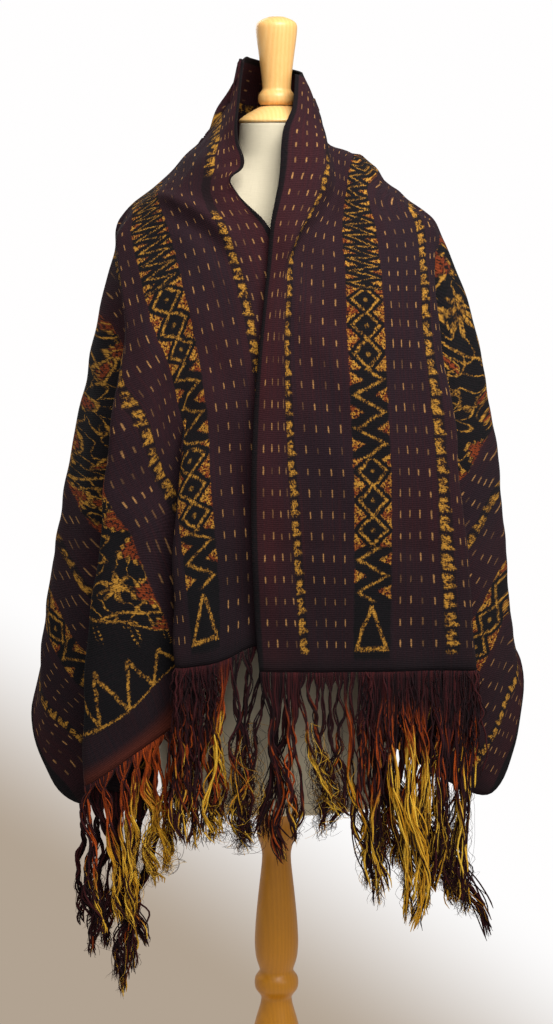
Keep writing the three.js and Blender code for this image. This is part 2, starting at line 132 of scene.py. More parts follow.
def add_node(tree, kind, inputs=None, **settings):
    """A new node. inputs maps its sockets to fields, other nodes' sockets or plain values."""
    node = tree.nodes.new("ShaderNode" + kind)
    for name, value in settings.items():
        setattr(node, name, value)
    for name, value in (inputs or {}).items():
        if isinstance(value, Field):
            value = value.socket
        if isinstance(value, bpy.types.NodeSocket):
            tree.links.new(value, node.inputs[name])
        else:
            node.inputs[name].default_value = value
    return node


class Field:
    """A number that varies over a surface. Its arithmetic adds Math nodes to the material."""

    def __init__(self, tree, socket):
        self.tree = tree
        self.socket = socket

    def math(self, operation, *others, clamp=False):
        parts = dict(enumerate((self, *others)))
        node = add_node(self.tree, "Math", parts, operation=operation, use_clamp=clamp)
        return Field(self.tree, node.outputs[0])

    def __add__(self, other):
        return self.math("ADD", other)

    def __sub__(self, other):
        return self.math("SUBTRACT", other)

    def __rsub__(self, other):
        return self.math("MULTIPLY_ADD", -1.0, other)

    def __mul__(self, other):
        return self.math("MULTIPLY", other)

    def __truediv__(self, other):
        return self.math("DIVIDE", other)

    __radd__ = __add__
    __rmul__ = __mul__

    def abs(self):
        return self.math("ABSOLUTE")

    def fract(self):
        return self.math("FRACT")

    def floor(self):
        return self.math("FLOOR")

    def max(self, other):
        return self.math("MAXIMUM", other)

    def clamped(self):
        return self.math("ADD", 0.0, clamp=True)

    def ramp(self, start, end):
        """0 at start and 1 at end, smooth between. start may be the larger."""
        parts = {"Value": self, "From Min": start, "From Max": end}
        node = add_node(self.tree, "MapRange", parts, interpolation_type="SMOOTHSTEP")
        return Field(self.tree, node.outputs["Result"])

    def under(self, limit, soft):
        """1 below limit, 0 above it."""
        return self.ramp(limit + soft, limit - soft)

    def over(self, limit, soft):
        """1 above limit, 0 below it."""
        return self.ramp(limit - soft, limit + soft)

    def between(self, low, high, soft):
        return self.over(low, soft) * self.under(high, soft)

    def triangle(self):
        """Distance from the middle of the whole step that the number is in: 0.5 at its ends, 0 half way."""
        return (self.fract() - 0.5).abs()


def split(tree, socket):
    """The three numbers of a socket, as fields."""
    return [Field(tree, part) for part in add_node(tree, "SeparateXYZ", {0: socket}).outputs]


def coordinates(tree, layer):
    """Both numbers of a UV layer."""
    return split(tree, add_node(tree, "UVMap", uv_map=layer).outputs["UV"])[:2]


def place(tree):
    """Object coordinates."""
    return split(tree, add_node(tree, "TexCoord").outputs["Object"])


def vector(*parts):
    return add_node(parts[0].tree, "CombineXYZ", dict(enumerate(parts))).outputs[0]


def noise(where, detail, roughness=0.5, scale=1.0):
    """Noise around 0, mostly within -0.5 to 0.5, at a place of three numbers."""
    tree = where[0].tree
    parts = {"Scale": scale, "Detail": detail, "Roughness": roughness, "Vector": vector(*where)}
    return Field(tree, add_node(tree, "TexNoise", parts).outputs["Fac"]) - 0.5


def chance(*where):
    tree = where[0].tree
    node = add_node(tree, "TexWhiteNoise", {"Vector": vector(*where)}, noise_dimensions="3D")
    return Field(tree, node.outputs["Value"])


def rgb(red, green, blue):
    """Linear colour from 8-bit screen values."""
    parts = []
    for value in (red, green, blue):
        share = value / 255
        parts.append(share / 12.92 if share <= 0.04045 else ((share + 0.055) / 1.055) ** 2.4)
    return (*parts, 1.0)


def blend(share, below, above):
    """Colour below where share is 0 and above where it is 1. Either is a socket or a colour."""
    parts = {0: share, 6: below, 7: above}
    return add_node(share.tree, "Mix", parts, data_type="RGBA").outputs[2]


def new_material(name, roughness, sheen=0.0):
    material = bpy.data.materials.new(name)
    material.use_nodes = True
    shader = material.node_tree.nodes["Principled BSDF"]
    shader.inputs["Roughness"].default_value = roughness
    shader.inputs["Sheen Weight"].default_value = sheen
    return material, material.node_tree, shader


def set_finish(shader, colour, height, distance, strength):
    """Links a colour, and a bump of the given height."""
    tree = height.tree
    tree.links.new(colour, shader.inputs["Base Color"])
    bump = add_node(tree, "Bump", {"Distance": distance, "Strength": strength, "Height": height})
    tree.links.new(bump.outputs["Normal"], shader.inputs["Normal"])


make_camera()
make_stage()

# ------------------------------------------------------------------ the ikat cloth's finish

WIDTH = 700  # the cloth, selvedge to selvedge
HALF_WIDTH = WIDTH / 2
HALF_LENGTH = 880  # the cloth, middle of the back to either hem

MAROON = rgb(42, 30, 36)
WINE = rgb(68, 31, 34)
INK = rgb(22, 22, 24)
OCHRE = rgb(190, 137, 54)
SOFT_OCHRE = rgb(116, 76, 32)
RUST = rgb(140, 62, 30)
PALE = rgb(200, 148, 90)
FADED = rgb(116, 52, 34)

# Columns of dashes, by distance from the nearer selvedge: the first, their spacing and their number.
DASH_GROUPS = [(14, 10.6, 4), (75.8, 14.6, 4), (192, 12.2, 4), (256, 8.4, 4)]
SCALLOPS = [55.5, 242]  # middles of the scalloped stripes
SCALLOP_PERIOD = 25
ZIGZAG_MIDDLE, ZIGZAG_HALF = 156.5, 24
ZIGZAG_CHANGE = 113  # length of each stretch of zigzags or of diamonds
ZIGZAG_PERIOD, DIAMOND_PERIOD = 42.0, 37.7
ZIGZAG_START = 380  # v where one pair of zigzags and diamonds begins
CLOSE_ZIGZAG, LEAST_DIAMOND = 376, 330  # nearer the neck the zigzag is closer, and diamonds are left out
ZIGZAG_END = 788  # where the zigzag band gives way to its last triangle
LAST_TRIANGLE = 56  # its height
DASH_END, SCALLOP_END, BAND_END, HEM = 852, 856, 865, 866  # v where each ends and the plain hem begins
FLORAL_HALF = 58
PANEL = 168  # the middle band comes in panels of this length
PANEL_LINE = 716  # v of the line under the last whole panel
PANEL_SLANT = 0.45
END_FOOT = 826  # v of the line under the row of tall triangles
TOOTH, TOOTH_HEIGHT = 29, 58
DOT_STEP = 5
# Leaves of one panel: place across and along, angle in degrees, half sizes.
LEAVES = table("""
-34 -44 34 17 7, 33 -48 -30 18 7, -22 -66 62 14 5, 32 44 26 18 8, 12 68 70 14 5
""")
FLOWER = {"x": -2, "y": -4, "radius": 36, "waist": 0.36, "fingers": 8, "core": 10}
STAR = {"x": -26, "y": 54, "radius": 17, "waist": 0.2, "fingers": 7}
EDGE_LEAF = {"long": 42, "deep": 18, "steps": 4}


def dash_mask(edge, rows):
    total = None
    for first, spacing, count in DASH_GROUPS:
        column = (edge - first) / spacing
        aside = (column + 0.5).triangle() * spacing
        inside = column.between(-0.5, count - 0.5, 0.02)
        luck = chance(column.math("ROUND"), rows.floor(), first)
        again = (luck * 7.7).fract()
        length = ((rows.fract() - 0.5 + again * 0.06 - 0.03).abs() - again * 0.07).under(0.125, 0.04)
        mask = aside.under(0.72, 0.5) * inside * length * luck.ramp(-0.3, 0.9)
        total = mask if total is None else total + mask
    return total


def zigzag_masks(edge, along):
    """Line and filled-triangle masks of the zigzag band, and its ground."""
    across = (edge - ZIGZAG_MIDDLE) / ZIGZAG_HALF
    side = across.abs()
    band = side.under(1.0, 0.03) * along.under(ZIGZAG_END, 2)
    stretch = ((along - ZIGZAG_START) / (2 * ZIGZAG_CHANGE)).fract()
    diamonds = stretch.under(0.5, 0.004) * along.over(LEAST_DIAMOND, 2)

    # A zigzag between two rows of filled triangles, whose points reach into its bends.
    closer = along.under(CLOSE_ZIGZAG, 1) + 1
    wave = (((along * closer / ZIGZAG_PERIOD).fract() - 0.5) * 4).abs() - 1
    beside = (across - wave * 0.78).abs()
    zig_line = beside.under(0.13, 0.09)
    zig_fill = beside.over(1.12, 0.07)

    turn = (along / DIAMOND_PERIOD).triangle() * 2
    reach = side / 0.74 + turn
    lattice = (reach - 1).abs().under(0.12, 0.07)
    diamond_fill = reach.over(1.52, 0.06)
    dot = (side * ZIGZAG_HALF).math("POWER", 2.0) + (turn * DIAMOND_PERIOD / 2).math("POWER", 2.0)
    dots = dot.under(9.0, 5.0) * 0.6

    line = (lattice.max(dots)) * diamonds + zig_line * (1 - diamonds)
    fill = diamond_fill * diamonds + zig_fill * (1 - diamonds)

    # The last triangle, point up, outlined, narrower than the band.
    height = (along - (ZIGZAG_END + 6)) / LAST_TRIANGLE
    sides = (side * 1.22 - height).abs().under(0.11, 0.05)
    foot = (height - 1).abs().under(0.05, 0.02) * side.under(0.86, 0.03)
    last = (sides.max(foot)) * height.between(0.0, 1.06, 0.01)
    ground = side.under(1.0, 0.05) * along.under(BAND_END, 6)
    return line * band + last, fill * band, ground


def scallop_masks(edge, along):
    """Blobs, straight on the neck side and notched on the other, and their dark ground."""
    blobs = None
    ground = None
    for middle in SCALLOPS:
        aside = edge - middle
        phase = ((along + middle * 3) / SCALLOP_PERIOD).fract() - 0.5
        waist = (phase * 2 * math.pi).math("SINE").abs()
        right = (waist * (phase * 6 + 6.0) - aside - 0.6).over(0.0, 1.2)
        left = (aside + 5.2).over(0.0, 0.9)
        blob = right * left * (phase + aside * 0.012).abs().under(0.37, 0.06)
        strip = aside.abs().under(6.2, 0.8)
        blobs = blob if blobs is None else blobs + blob
        ground = strip if ground is None else ground + strip
    shown = along.under(SCALLOP_END, 2)
    return blobs * shown, ground * shown * 0.7


def ray_reach(across, y, shape):
    """Distance from a star shape's middle as a share of its outline, and in millimetres."""
    dx = across - shape["x"]
    dy = y - shape["y"]
    radius = (dx * dx + dy * dy).math("SQRT")
    finger = (dy.math("ARCTAN2", dx) * (shape["fingers"] / 2)).math("COSINE").abs()
    return radius / ((finger * (1 - shape["waist"]) + shape["waist"]) * shape["radius"]), radius


def floral_masks(across, along, edge, even):
    """Outlines, cores and ground of the middle band. across and along wander, edge and even do not."""
    y = (((along - PANEL_LINE) / PANEL).fract() - 0.5) * PANEL
    outline = None
    core = None
    for leaf_x, leaf_y, turn, half_long, half_wide in LEAVES:
        angle = math.radians(turn)
        dx = across - leaf_x
        dy = y - leaf_y
        lengthwise = (dy * math.cos(angle) + dx * math.sin(angle)) / half_long
        crosswise = (dx * math.cos(angle) - dy * math.sin(angle)) / half_wide
        # A pointed oval: the sides are arcs that meet at both tips.
        reach = crosswise.abs() + lengthwise * lengthwise
        rim = (reach - 1).abs().under(0.2, 0.1)
        middle = reach.under(0.6, 0.14)
        outline = rim if outline is None else outline.max(rim)
        core = middle if core is None else core.max(middle)
    # A flower of outlined fingers round a rosette, and a filled star.
    reach, radius = ray_reach(across, y, FLOWER)
    outline = outline.max((reach - 1).abs().under(0.07, 0.05) * radius.over(FLOWER["core"] + 2, 1))
    outline = outline.max((radius - FLOWER["core"]).abs().under(1.7, 0.8))
    core = core.max(radius.under(FLOWER["core"] - 2, 1))
    reach, radius = ray_reach(across, y, STAR)
    outline = outline.max(reach.under(0.9, 0.15))
    # Stepped leaves along both rims of the band.
    straight = HALF_WIDTH - edge
    rim_gap = FLORAL_HALF - straight
    phase = (y / EDGE_LEAF["long"]).triangle() * -2 + 1
    steps = (phase * EDGE_LEAF["steps"]).floor() * (EDGE_LEAF["deep"] / (EDGE_LEAF["steps"] - 1))
    inset = rim_gap - steps
    outline = outline.max((inset + 1.6).abs().under(1.7, 0.8) * phase.over(0.1, 0.03))
    core = core.max(inset.under(-4.6, 1.2))
    # Tendrils, where a slow wandering field passes its middle.
    curls = noise((across / 16, along / 19, 51.0), 0.0)
    outline = outline.max(curls.abs().under(0.022, 0.016) * y.abs().over(26, 8))
    divider = (y.abs() - PANEL / 2).abs().under(1.5, 0.8)
    outline = outline.max(divider)
    inside = straight.under(FLORAL_HALF, 1.0)

    # The end panel: a line above, a row of tall triangles on a line below.
    drop = even - (PANEL_LINE - across * PANEL_SLANT)
    above = drop.under(0.0, 1.5)
    lift = END_FOOT - even
    tooth = (straight / TOOTH).triangle() * TOOTH
    teeth = (tooth - (1 - lift / TOOTH_HEIGHT) * (TOOTH / 2)).abs().under(1.5, 0.8)
    teeth = teeth * lift.between(0, TOOTH_HEIGHT, 1)
    lines = drop.abs().under(1.4, 0.7).max(lift.abs().under(1.5, 0.7))
    # Small dots hang in wedges from the upper line.
    spot = (straight / DOT_STEP).triangle().under(0.2, 0.1)
    spot = spot * (even / DOT_STEP).triangle().under(0.2, 0.1)
    wedge = (TOOTH / 2 - tooth).abs() + drop * 0.25
    dots = spot * wedge.under(8, 1) * drop.over(4, 1)
    ground = inside * even.under(END_FOOT + 2, 2)
    return (outline * above).max(lines.max(teeth).max(dots)) * inside, core * above * inside, ground


def ikat_material():
    material, tree, shader = new_material("ikat_cotton", 0.95, 0.01)
    shader.inputs["Sheen Roughness"].default_value = 0.5
    shader.inputs["Specular IOR Level"].default_value = 0.09
    u, v = coordinates(tree, "weave")
    rows, even = coordinates(tree, "beat")
    u = u * 1000
    v = v * 1000
    even = even * 1000

    # Each group of warps was dyed a little out of step with its neighbours, which feathers every edge.
    warp = noise((u / 1.3, v / 30, 0.0), 2.0, 0.8)
    wander = noise((u / 22, v / 16, 4.0), 1.0)
    fine = noise((u / 2.6, v / 4.0, 9.0), 2.0)
    along = even + warp * 10.0 + wander * 6.0
    edge = HALF_WIDTH - (u + wander * 4.0 + fine * 3.4 - HALF_WIDTH).abs()
    edge_plain = HALF_WIDTH - (u - HALF_WIDTH).abs()
    loose = noise((u / 42, even / 42, 31.0), 2.0)
    loose_too = noise((u / 42, even / 42, 37.0), 2.0)
    across = u - HALF_WIDTH + loose * 20 + fine * 3.2
    floral_along = even + warp * 6.0 + wander * 4.0 + loose_too * 18

    line, fill, zig_ground = zigzag_masks(edge, along)
    blobs, scallop_ground = scallop_masks(edge, along)
    # The cowl fold on the -X side swallows a stretch of the first scalloped stripe, and the lapel
    # swallows one on the other side.
    swallowed = (v * -1).between(240, 308, 6) + v.between(20, 220, 5)
    blobs = blobs * (1 - swallowed * u.under(110, 4))
    outline, core, floral_ground = floral_masks(across, floral_along, edge, along)
    dashes = dash_mask(edge_plain + fine * 1.1, rows + warp * 0.2) * v.abs().under(DASH_END, 2)
    selvedge = edge_plain.under(6.5, 1.0)
    hem = v.abs().over(HEM, 8)

    # The ground: browner in places, redder by the selvedges, darker towards the hems with painted shade,
    # and faded to rust at the last of the left end.
    tone = noise((u / 160, v / 220, 2.0), 2.0)
    streak = noise((u / 2.2, v / 300, 6.0), 2.0, 0.6)
    near_edge = edge_plain.under(44, 34) * 0.42
    redness = (tone * 0.9 + streak * 1.1 + near_edge + 0.16).clamped()
    colour = blend(redness, MAROON, WINE)
    ground = (zig_ground + scallop_ground + floral_ground + selvedge).clamped()
    ground = ground.max(hem * 0.5)
    # Painted shade: the lower ends of the cloth darken towards the hems.
    colour = blend(v.abs().ramp(560, 900) * 0.42, colour, INK)
    patchy = (ground * (0.9 + fine * 0.6)).clamped()
    colour = blend(patchy, colour, INK)
    faded = (v * -1).over(HEM, 10) * u.between(270, 440, 30)
    colour = blend(faded * (0.5 + tone), colour, FADED)

    spots = noise((u / 2.5, v / 3.2, 14.0), 1.0, 0.7)
    patches = noise((u / 9.0, v / 14.0, 17.0), 1.0)
    rusty = (fill + core).clamped()
    colour = blend(rusty * spots.ramp(-0.16, 0.06) * 0.85, colour, RUST)
    gilt = (spots + patches * 0.8 + edge / 900).over(0.17, 0.1)
    gold = (line + outline + blobs + fill * gilt).clamped()
    gold = gold * (spots + patches * 0.4).ramp(-0.20, 0.10)
    bright = blend((spots + patches).ramp(-0.25, 0.2), SOFT_OCHRE, OCHRE)
    colour = blend(gold, colour, bright)
    dash_share = dashes.clamped() * (spots * 0.9 + 0.78) * (patches * 0.5 + 0.9)
    colour = blend(dash_share, colour, PALE)

    # Painted shade: weft ribs and warp threads darken the hollows of the weave, with random grain mixed in.
    rib = (v * (2 * math.pi / 2.4) + wander * 3).math("SINE") * 0.5 + 0.5
    thread = (u * (2 * math.pi / 1.1)).math("SINE") * 0.5 + 0.5
    slub = noise((u / 14, v / 1.8, 21.0), 2.0, 0.6)
    grain = noise((u / 1.6, v / 2.2, 27.0), 2.0, 0.8)
    weave = rib * 0.6 + thread * 0.25 + slub * 0.7
    shade = (weave * 0.38 + grain * 1.1 + 0.72).math("MAXIMUM", 0.35)
    parts = {0: 1.0, 6: colour, 7: vector(shade, shade, shade)}
    shaded = add_node(tree, "Mix", parts, data_type="RGBA", blend_type="MULTIPLY").outputs[2]
    set_finish(shader, shaded, weave, 0.0006, 0.7)
    return material


# ------------------------------------------------------------------ fall lines of the cloth

SHOULDER_LEVEL = 1327
UPPER_ROWS, LOWER_ROWS = 14, 10
FOLD_GAPE, FOLD_START, FOLD_OPENING_DROP = 12, 3, 110

# Each fall line: its name and, where it is a fold, the height below which the fold opens; rows of height z,
# distance right x and depth y; and rows of height z, distance u from the neck selvedge across the cloth and
# distance v from the middle of the back along it.
RIGHT_LINES = """
edge;
1562 25 -36, 1521 21 -54, 1491 9 -74, 1428 3 -94, 1367 -8 -114, 1272 -16 -136, 1141 -28 -147, 1030 -32 -151,
892 -28 -151, 810 -22 -149;
1562 0 105, 1521 0 150, 1507 0 168, 1491 0 188, 1470 0 210, 1428 0 254, 1367 0 319, 1272 0 417, 1141 0 549,
1030 0 660, 892 0 798, 810 0 880

lapel_roll;
1562 29 -30, 1507 55 -36, 1470 64 -62, 1428 66 -90, 1384 46 -116, 1361 29 -127, 1312 8 -136, 1240 0 -145,
1141 -2 -151, 810 5 -153;
1562 6 96, 1507 42 140, 1470 49 205, 1448 52 230, 1424 60 255, 1384 57 300, 1361 47 329, 1312 31 381,
1240 28 453, 1141 29 552, 810 27 880

lapel_valley;
1563 31 -24, 1507 57 -26, 1474 65 -38, 1428 77 -64, 1384 62 -90, 1361 44 -108, 1312 18 -130, 1240 16 -146,
1141 17 -151, 1030 20 -152, 810 33 -153;
1563 4 90, 1507 52 128, 1474 68 184, 1464 80 196, 1448 90 214, 1424 94 240, 1384 94 284, 1361 82 314,
1312 58 374, 1240 61 450, 1141 58 550, 1030 53 661, 810 50 880

zigzag;
1564 33 -16, 1507 57 -18, 1474 65 -26, 1464 82 -34, 1448 95 -46, 1406 98 -82, 1360 104 -106, 1279 109 -134,
1141 115 -149, 1030 119 -151, 810 116 -152;
1564 2 82, 1507 55 118, 1474 74 172, 1464 108 184, 1448 134 206, 1400 158 254, 1361 157 298, 1319 154 350,
1279 154 398, 1141 154 546, 810 154 880

outer_front;
1565 34 -10, 1507 58 -12, 1474 65 -16, 1464 89 -26, 1448 103 -36, 1400 140 -70, 1360 158 -88, 1279 166 -118,
1141 178 -136, 1030 186 -139, 810 194 -141;
1565 1 76, 1507 56 110, 1474 76 162, 1464 116 176, 1448 146 200, 1400 208 250, 1361 212 294, 1319 216 348,
1279 219 398, 1141 221 546, 810 222 880

ridge 1372;
1565 34 -6, 1507 58 -8, 1474 65 -10, 1464 92 -18, 1448 109 -28, 1400 162 -50, 1361 202 -60, 1319 201 -78,
1279 202 -92, 1209 210 -106, 1133 223 -113, 1040 234 -117, 946 243 -119, 806 256 -119;
1565 0 72, 1507 57 104, 1474 77 156, 1464 119 172, 1448 152 203, 1400 231 255, 1361 265 305, 1319 267 350,
1209 268 464, 1040 270 636, 946 271 733, 806 273 880

tuck 1372;
1566 34 -2, 1507 58 -4, 1474 65 -5, 1464 94 -9, 1448 113 -16, 1400 166 -34, 1361 199 -44, 1319 189 -58,
1209 170 -84, 1040 148 -97, 946 138 -98, 720 122 -100;
1566 0 68, 1507 57 98, 1474 77 151, 1464 121 167, 1448 157 198, 1400 232 248, 1361 276 300, 1319 286 340,
1209 300 423, 1040 343 578, 946 371 665, 720 480 880

corner;
1566 34 0, 1507 58 -2, 1474 65 -2, 1464 96 -4, 1448 116 -8, 1400 170 -20, 1361 206 -26, 1319 212 -34,
1209 226 -40, 1040 250 -38, 946 259 -36, 806 274 -34, 616 288 -28;
1566 0 66, 1507 57 95, 1474 78 148, 1464 123 164, 1448 162 195, 1400 237 242, 1361 286 296, 1319 298 330,
1209 322 385, 1040 415 521, 946 471 597, 806 563 703, 616 700 880

hip;
1566 34 1, 1507 58 -1, 1474 65 -1, 1464 97 -2, 1448 118 -4, 1400 172 -10, 1361 210 -12, 1319 224 -12,
1209 250 -4, 1040 281 2, 946 290 4, 806 306 4, 692 323 10;
1566 0 65, 1507 56 93, 1474 78 146, 1464 124 162, 1448 165 193, 1400 239 238, 1361 290 290, 1319 304 330,
1209 340 377, 1040 440 508, 946 497 583, 806 600 690, 692 700 775

side;
1566 34 2, 1540 40 1, 1519 52 0, 1484 58 0, 1471 62 0, 1461 98 0, 1448 119 0, 1431 130 0, 1416 158 0,
1402 173 0, 1385 198 0, 1376 205 0, 1353 216 2, 1327 229 10, 1283 249 20, 1209 268 30, 1129 284 38,
1046 299 42, 931 309 44, 868 314 44, 800 322 42, 782 333 38;
1566 0 63, 1540 24 72, 1519 45 82, 1484 66 120, 1474 78 144, 1461 132 172, 1448 165 190, 1416 215 220,
1400 241 232, 1376 275 262, 1353 288 285, 1327 303 308, 1283 322 330, 1209 355 369, 1117 408 446,
1046 455 499, 931 526 586, 868 565 635, 798 642 657, 782 700 665

rear_side;
1568 30 22, 1519 50 30, 1484 58 36, 1461 88 40, 1431 116 46, 1402 146 52, 1376 172 56, 1327 200 66,
1209 238 98, 1046 262 112, 900 274 116, 845 280 114;
1568 0 42, 1507 58 62, 1461 108 110, 1448 150 140, 1400 220 180, 1376 250 212, 1327 296 258, 1209 405 313,
1046 540 371, 845 700 450

rear;
1572 18 40, 1519 34 56, 1484 42 66, 1448 68 80, 1402 96 96, 1327 122 118, 1209 142 146, 1046 156 156,
868 164 160;
1572 0 20, 1507 62 34, 1484 90 50, 1448 126 85, 1402 186 150, 1327 264 172, 1209 380 180, 1046 533 185,
868 700 190
"""

BACK_LINE = """
back;
1578 -2 48, 1519 0 64, 1484 0 74, 1448 0 88, 1402 0 106, 1327 0 126, 1209 0 140, 1046 0 146, 862 0 148;
1578 0 0, 1507 66 0, 1448 120 0, 1402 165 0, 1327 243 0, 1209 361 0, 1046 522 0, 862 700 0
"""

LEFT_LINES = """
edge;
1579 -44 -22, 1526 -48 -40, 1499 -50 -53, 1473 -48 -66, 1456 -41 -76, 1447 -42 -80, 1430 -60 -88,
1367 -8 -104, 1242 38 -128, 1100 52 -136, 950 46 -139, 842 32 -139;
1579 0 89, 1526 0 145, 1499 0 175, 1473 0 204, 1456 0 225, 1447 0 235, 1430 0 261, 1367 0 344, 1242 0 479,
1100 0 622, 950 0 772, 842 0 880

inner_front;
1580 -45 -19, 1526 -53 -33, 1499 -58 -46, 1473 -62 -58, 1447 -66 -74, 1420 -60 -88, 1367 -32 -104,
1242 2 -128, 1100 -6 -138, 950 -14 -140, 842 -26 -139;
1580 3 86, 1526 14 141, 1499 18 170, 1473 26 198, 1447 36 228, 1420 20 270, 1367 22 340, 1242 24 476,
1100 50 620, 950 66 770, 842 80 880

minor_fold;
1580 -46 -17, 1526 -57 -28, 1499 -66 -38, 1473 -76 -50, 1447 -86 -66, 1415 -86 -80, 1367 -72 -100,
1242 -54 -130, 1117 -76 -142, 952 -73 -145, 820 -72 -143;
1580 5 83, 1526 26 136, 1499 38 164, 1473 53 192, 1447 58 220, 1415 52 272, 1367 60 333, 1242 78 470,
1117 123 600, 1053 125 664, 977 129 740, 885 134 822, 820 131 880

pleat 1160;
1581 -46 -14, 1526 -60 -22, 1499 -73 -28, 1473 -88 -36, 1447 -106 -50, 1415 -116 -66, 1367 -114 -90,
1242 -106 -120, 1130 -114 -132, 1053 -122 -137, 977 -129 -140, 813 -130 -140;
1581 6 80, 1526 34 130, 1499 51 156, 1473 62 182, 1447 75 210, 1415 84 262, 1367 108 322, 1242 134 452,
1177 152 520, 1130 164 566, 1053 180 640, 977 199 716, 885 215 808, 813 228 880

pleat_tuck 1160;
1581 -46 -12, 1526 -61 -19, 1499 -75 -24, 1473 -91 -31, 1447 -110 -44, 1415 -126 -60, 1367 -124 -86,
1242 -116 -117, 1130 -120 -128, 1053 -118 -125, 977 -114 -122, 885 -108 -121, 750 -104 -121;
1581 6 78, 1526 36 127, 1499 53 152, 1473 65 178, 1447 79 205, 1415 96 258, 1367 118 318, 1242 145 446,
1177 164 512, 1130 182 556, 1053 212 622, 977 232 642, 885 252 712, 806 264 866, 750 272 880

outer_flap;
1581 -45 -8, 1526 -61 -14, 1499 -78 -16, 1473 -97 -22, 1447 -118 -30, 1415 -142 -42, 1367 -152 -68,
1300 -152 -96, 1242 -152 -112, 1130 -158 -124, 1053 -164 -128, 977 -176 -130, 885 -186 -130, 692 -188 -126;
1581 5 74, 1526 39 120, 1499 56 144, 1473 69 170, 1447 89 196, 1415 118 246, 1367 146 308, 1300 163 370,
1242 178 422, 1130 234 518, 1053 256 582, 977 288 642, 885 316 716, 692 366 880

ridge 1322;
1582 -45 -6, 1526 -62 -9, 1499 -80 -10, 1473 -100 -13, 1447 -124 -18, 1415 -152 -24, 1384 -186 -28,
1348 -203 -38, 1300 -198 -72, 1240 -190 -92, 1177 -201 -104, 1119 -210 -109, 1057 -218 -111, 948 -226 -113,
879 -239 -113, 739 -247 -112, 651 -248 -110;
1582 4 71, 1526 41 114, 1499 58 136, 1473 72 160, 1447 97 186, 1415 140 226, 1384 182 262, 1348 200 300,
1300 210 352, 1240 226 408, 1177 250 460, 1119 274 508, 1057 292 556, 948 338 649, 879 362 709, 739 400 812,
651 428 880

tuck 1322;
1583 -45 -4, 1526 -62 -6, 1499 -81 -6, 1473 -101 -8, 1447 -126 -12, 1415 -155 -15, 1384 -190 -19,
1348 -206 -24, 1300 -196 -50, 1240 -178 -76, 1177 -174 -88, 1057 -164 -94, 948 -158 -96, 824 -152 -96,
630 -158 -90;
1583 3 69, 1526 42 110, 1499 59 130, 1473 73 156, 1447 100 182, 1415 144 218, 1384 186 252, 1348 212 290,
1300 230 338, 1240 254 392, 1177 282 444, 1057 326 546, 948 376 638, 824 452 742, 630 590 880

corner;
1584 -44 -1, 1526 -63 -2, 1499 -82 -3, 1473 -102 -4, 1447 -128 -6, 1415 -158 -7, 1384 -194 -11,
1348 -208 -13, 1300 -208 -24, 1240 -208 -32, 1177 -220 -38, 1057 -238 -38, 948 -248 -38, 824 -260 -36,
700 -264 -32, 607 -268 -30;
1584 2 66, 1526 43 104, 1499 59 124, 1473 74 150, 1447 103 178, 1415 148 212, 1384 190 244, 1348 224 280,
1300 256 318, 1240 290 371, 1177 318 428, 1057 372 536, 948 430 633, 882 472 679, 768 567 778, 690 655 830,
607 700 880

hip;
1585 -43 2, 1526 -63 0, 1499 -83 -1, 1473 -104 -1, 1447 -130 -2, 1415 -160 -3, 1384 -198 -3, 1348 -208 -3,
1300 -217 -4, 1240 -230 -4, 1177 -242 -2, 1057 -264 0, 948 -282 2, 824 -300 4, 700 -314 4, 648 -313 4;
1585 1 63, 1526 43 98, 1499 59 118, 1473 75 146, 1447 105 175, 1415 150 208, 1384 192 240, 1348 228 276,
1300 262 318, 1240 298 370, 1177 328 426, 1057 388 531, 948 454 626, 824 560 702, 728 652 750, 648 700 800

side;
1587 -40 6, 1541 -63 2, 1519 -77 0, 1493 -87 0, 1483 -96 0, 1444 -133 0, 1415 -162 0, 1404 -178 0,
1384 -202 0, 1376 -207 0, 1348 -210 2, 1327 -215 8, 1293 -225 14, 1262 -233 20, 1209 -245 28, 1168 -254 32,
1117 -267 36, 1028 -284 40, 899 -305 42, 794 -318 42, 755 -324 42, 716 -333 38;
1587 0 58, 1541 38 80, 1493 59 108, 1483 68 122, 1444 112 172, 1415 152 204, 1404 166 214, 1384 192 238,
1348 232 274, 1327 250 294, 1293 274 324, 1262 293 351, 1209 323 397, 1117 374 476, 1028 422 552,
944 478 622, 885 540 650, 790 642 692, 752 676 708, 716 700 716

rear_side;
1586 -34 22, 1541 -56 28, 1493 -80 36, 1444 -118 44, 1404 -154 50, 1376 -180 56, 1327 -200 66, 1209 -222 98,
1046 -250 112, 900 -274 118, 830 -283 116;
1586 0 40, 1541 42 58, 1493 76 92, 1444 124 140, 1404 176 180, 1376 208 212, 1327 262 250, 1209 384 318,
1046 524 380, 900 640 432, 830 700 460

rear;
1583 -20 40, 1519 -44 56, 1484 -56 66, 1448 -76 80, 1402 -100 96, 1327 -122 118, 1209 -138 146,
1046 -152 156, 862 -166 160;
1583 0 20, 1519 58 34, 1484 92 56, 1448 128 88, 1402 186 140, 1327 260 168, 1209 376 178, 1046 530 184,
862 700 192
"""


def fall_lines(text, side):
    """The fall lines of a text, whose paragraphs hold three parts each. side is 1 at the right, -1 left."""
    made = []
    for block in text.strip().split("\n\n"):
        head, rows, weave = block.split(";")
        line = {"side": side, "rows": table(rows), "weave": table(weave)}
        if " " in head:
            line["opens"] = float(head.split()[1])
        made.append(line)
    return made


LINES = fall_lines(RIGHT_LINES, 1) + fall_lines(BACK_LINE, 0) + fall_lines(LEFT_LINES, -1)[::-1]


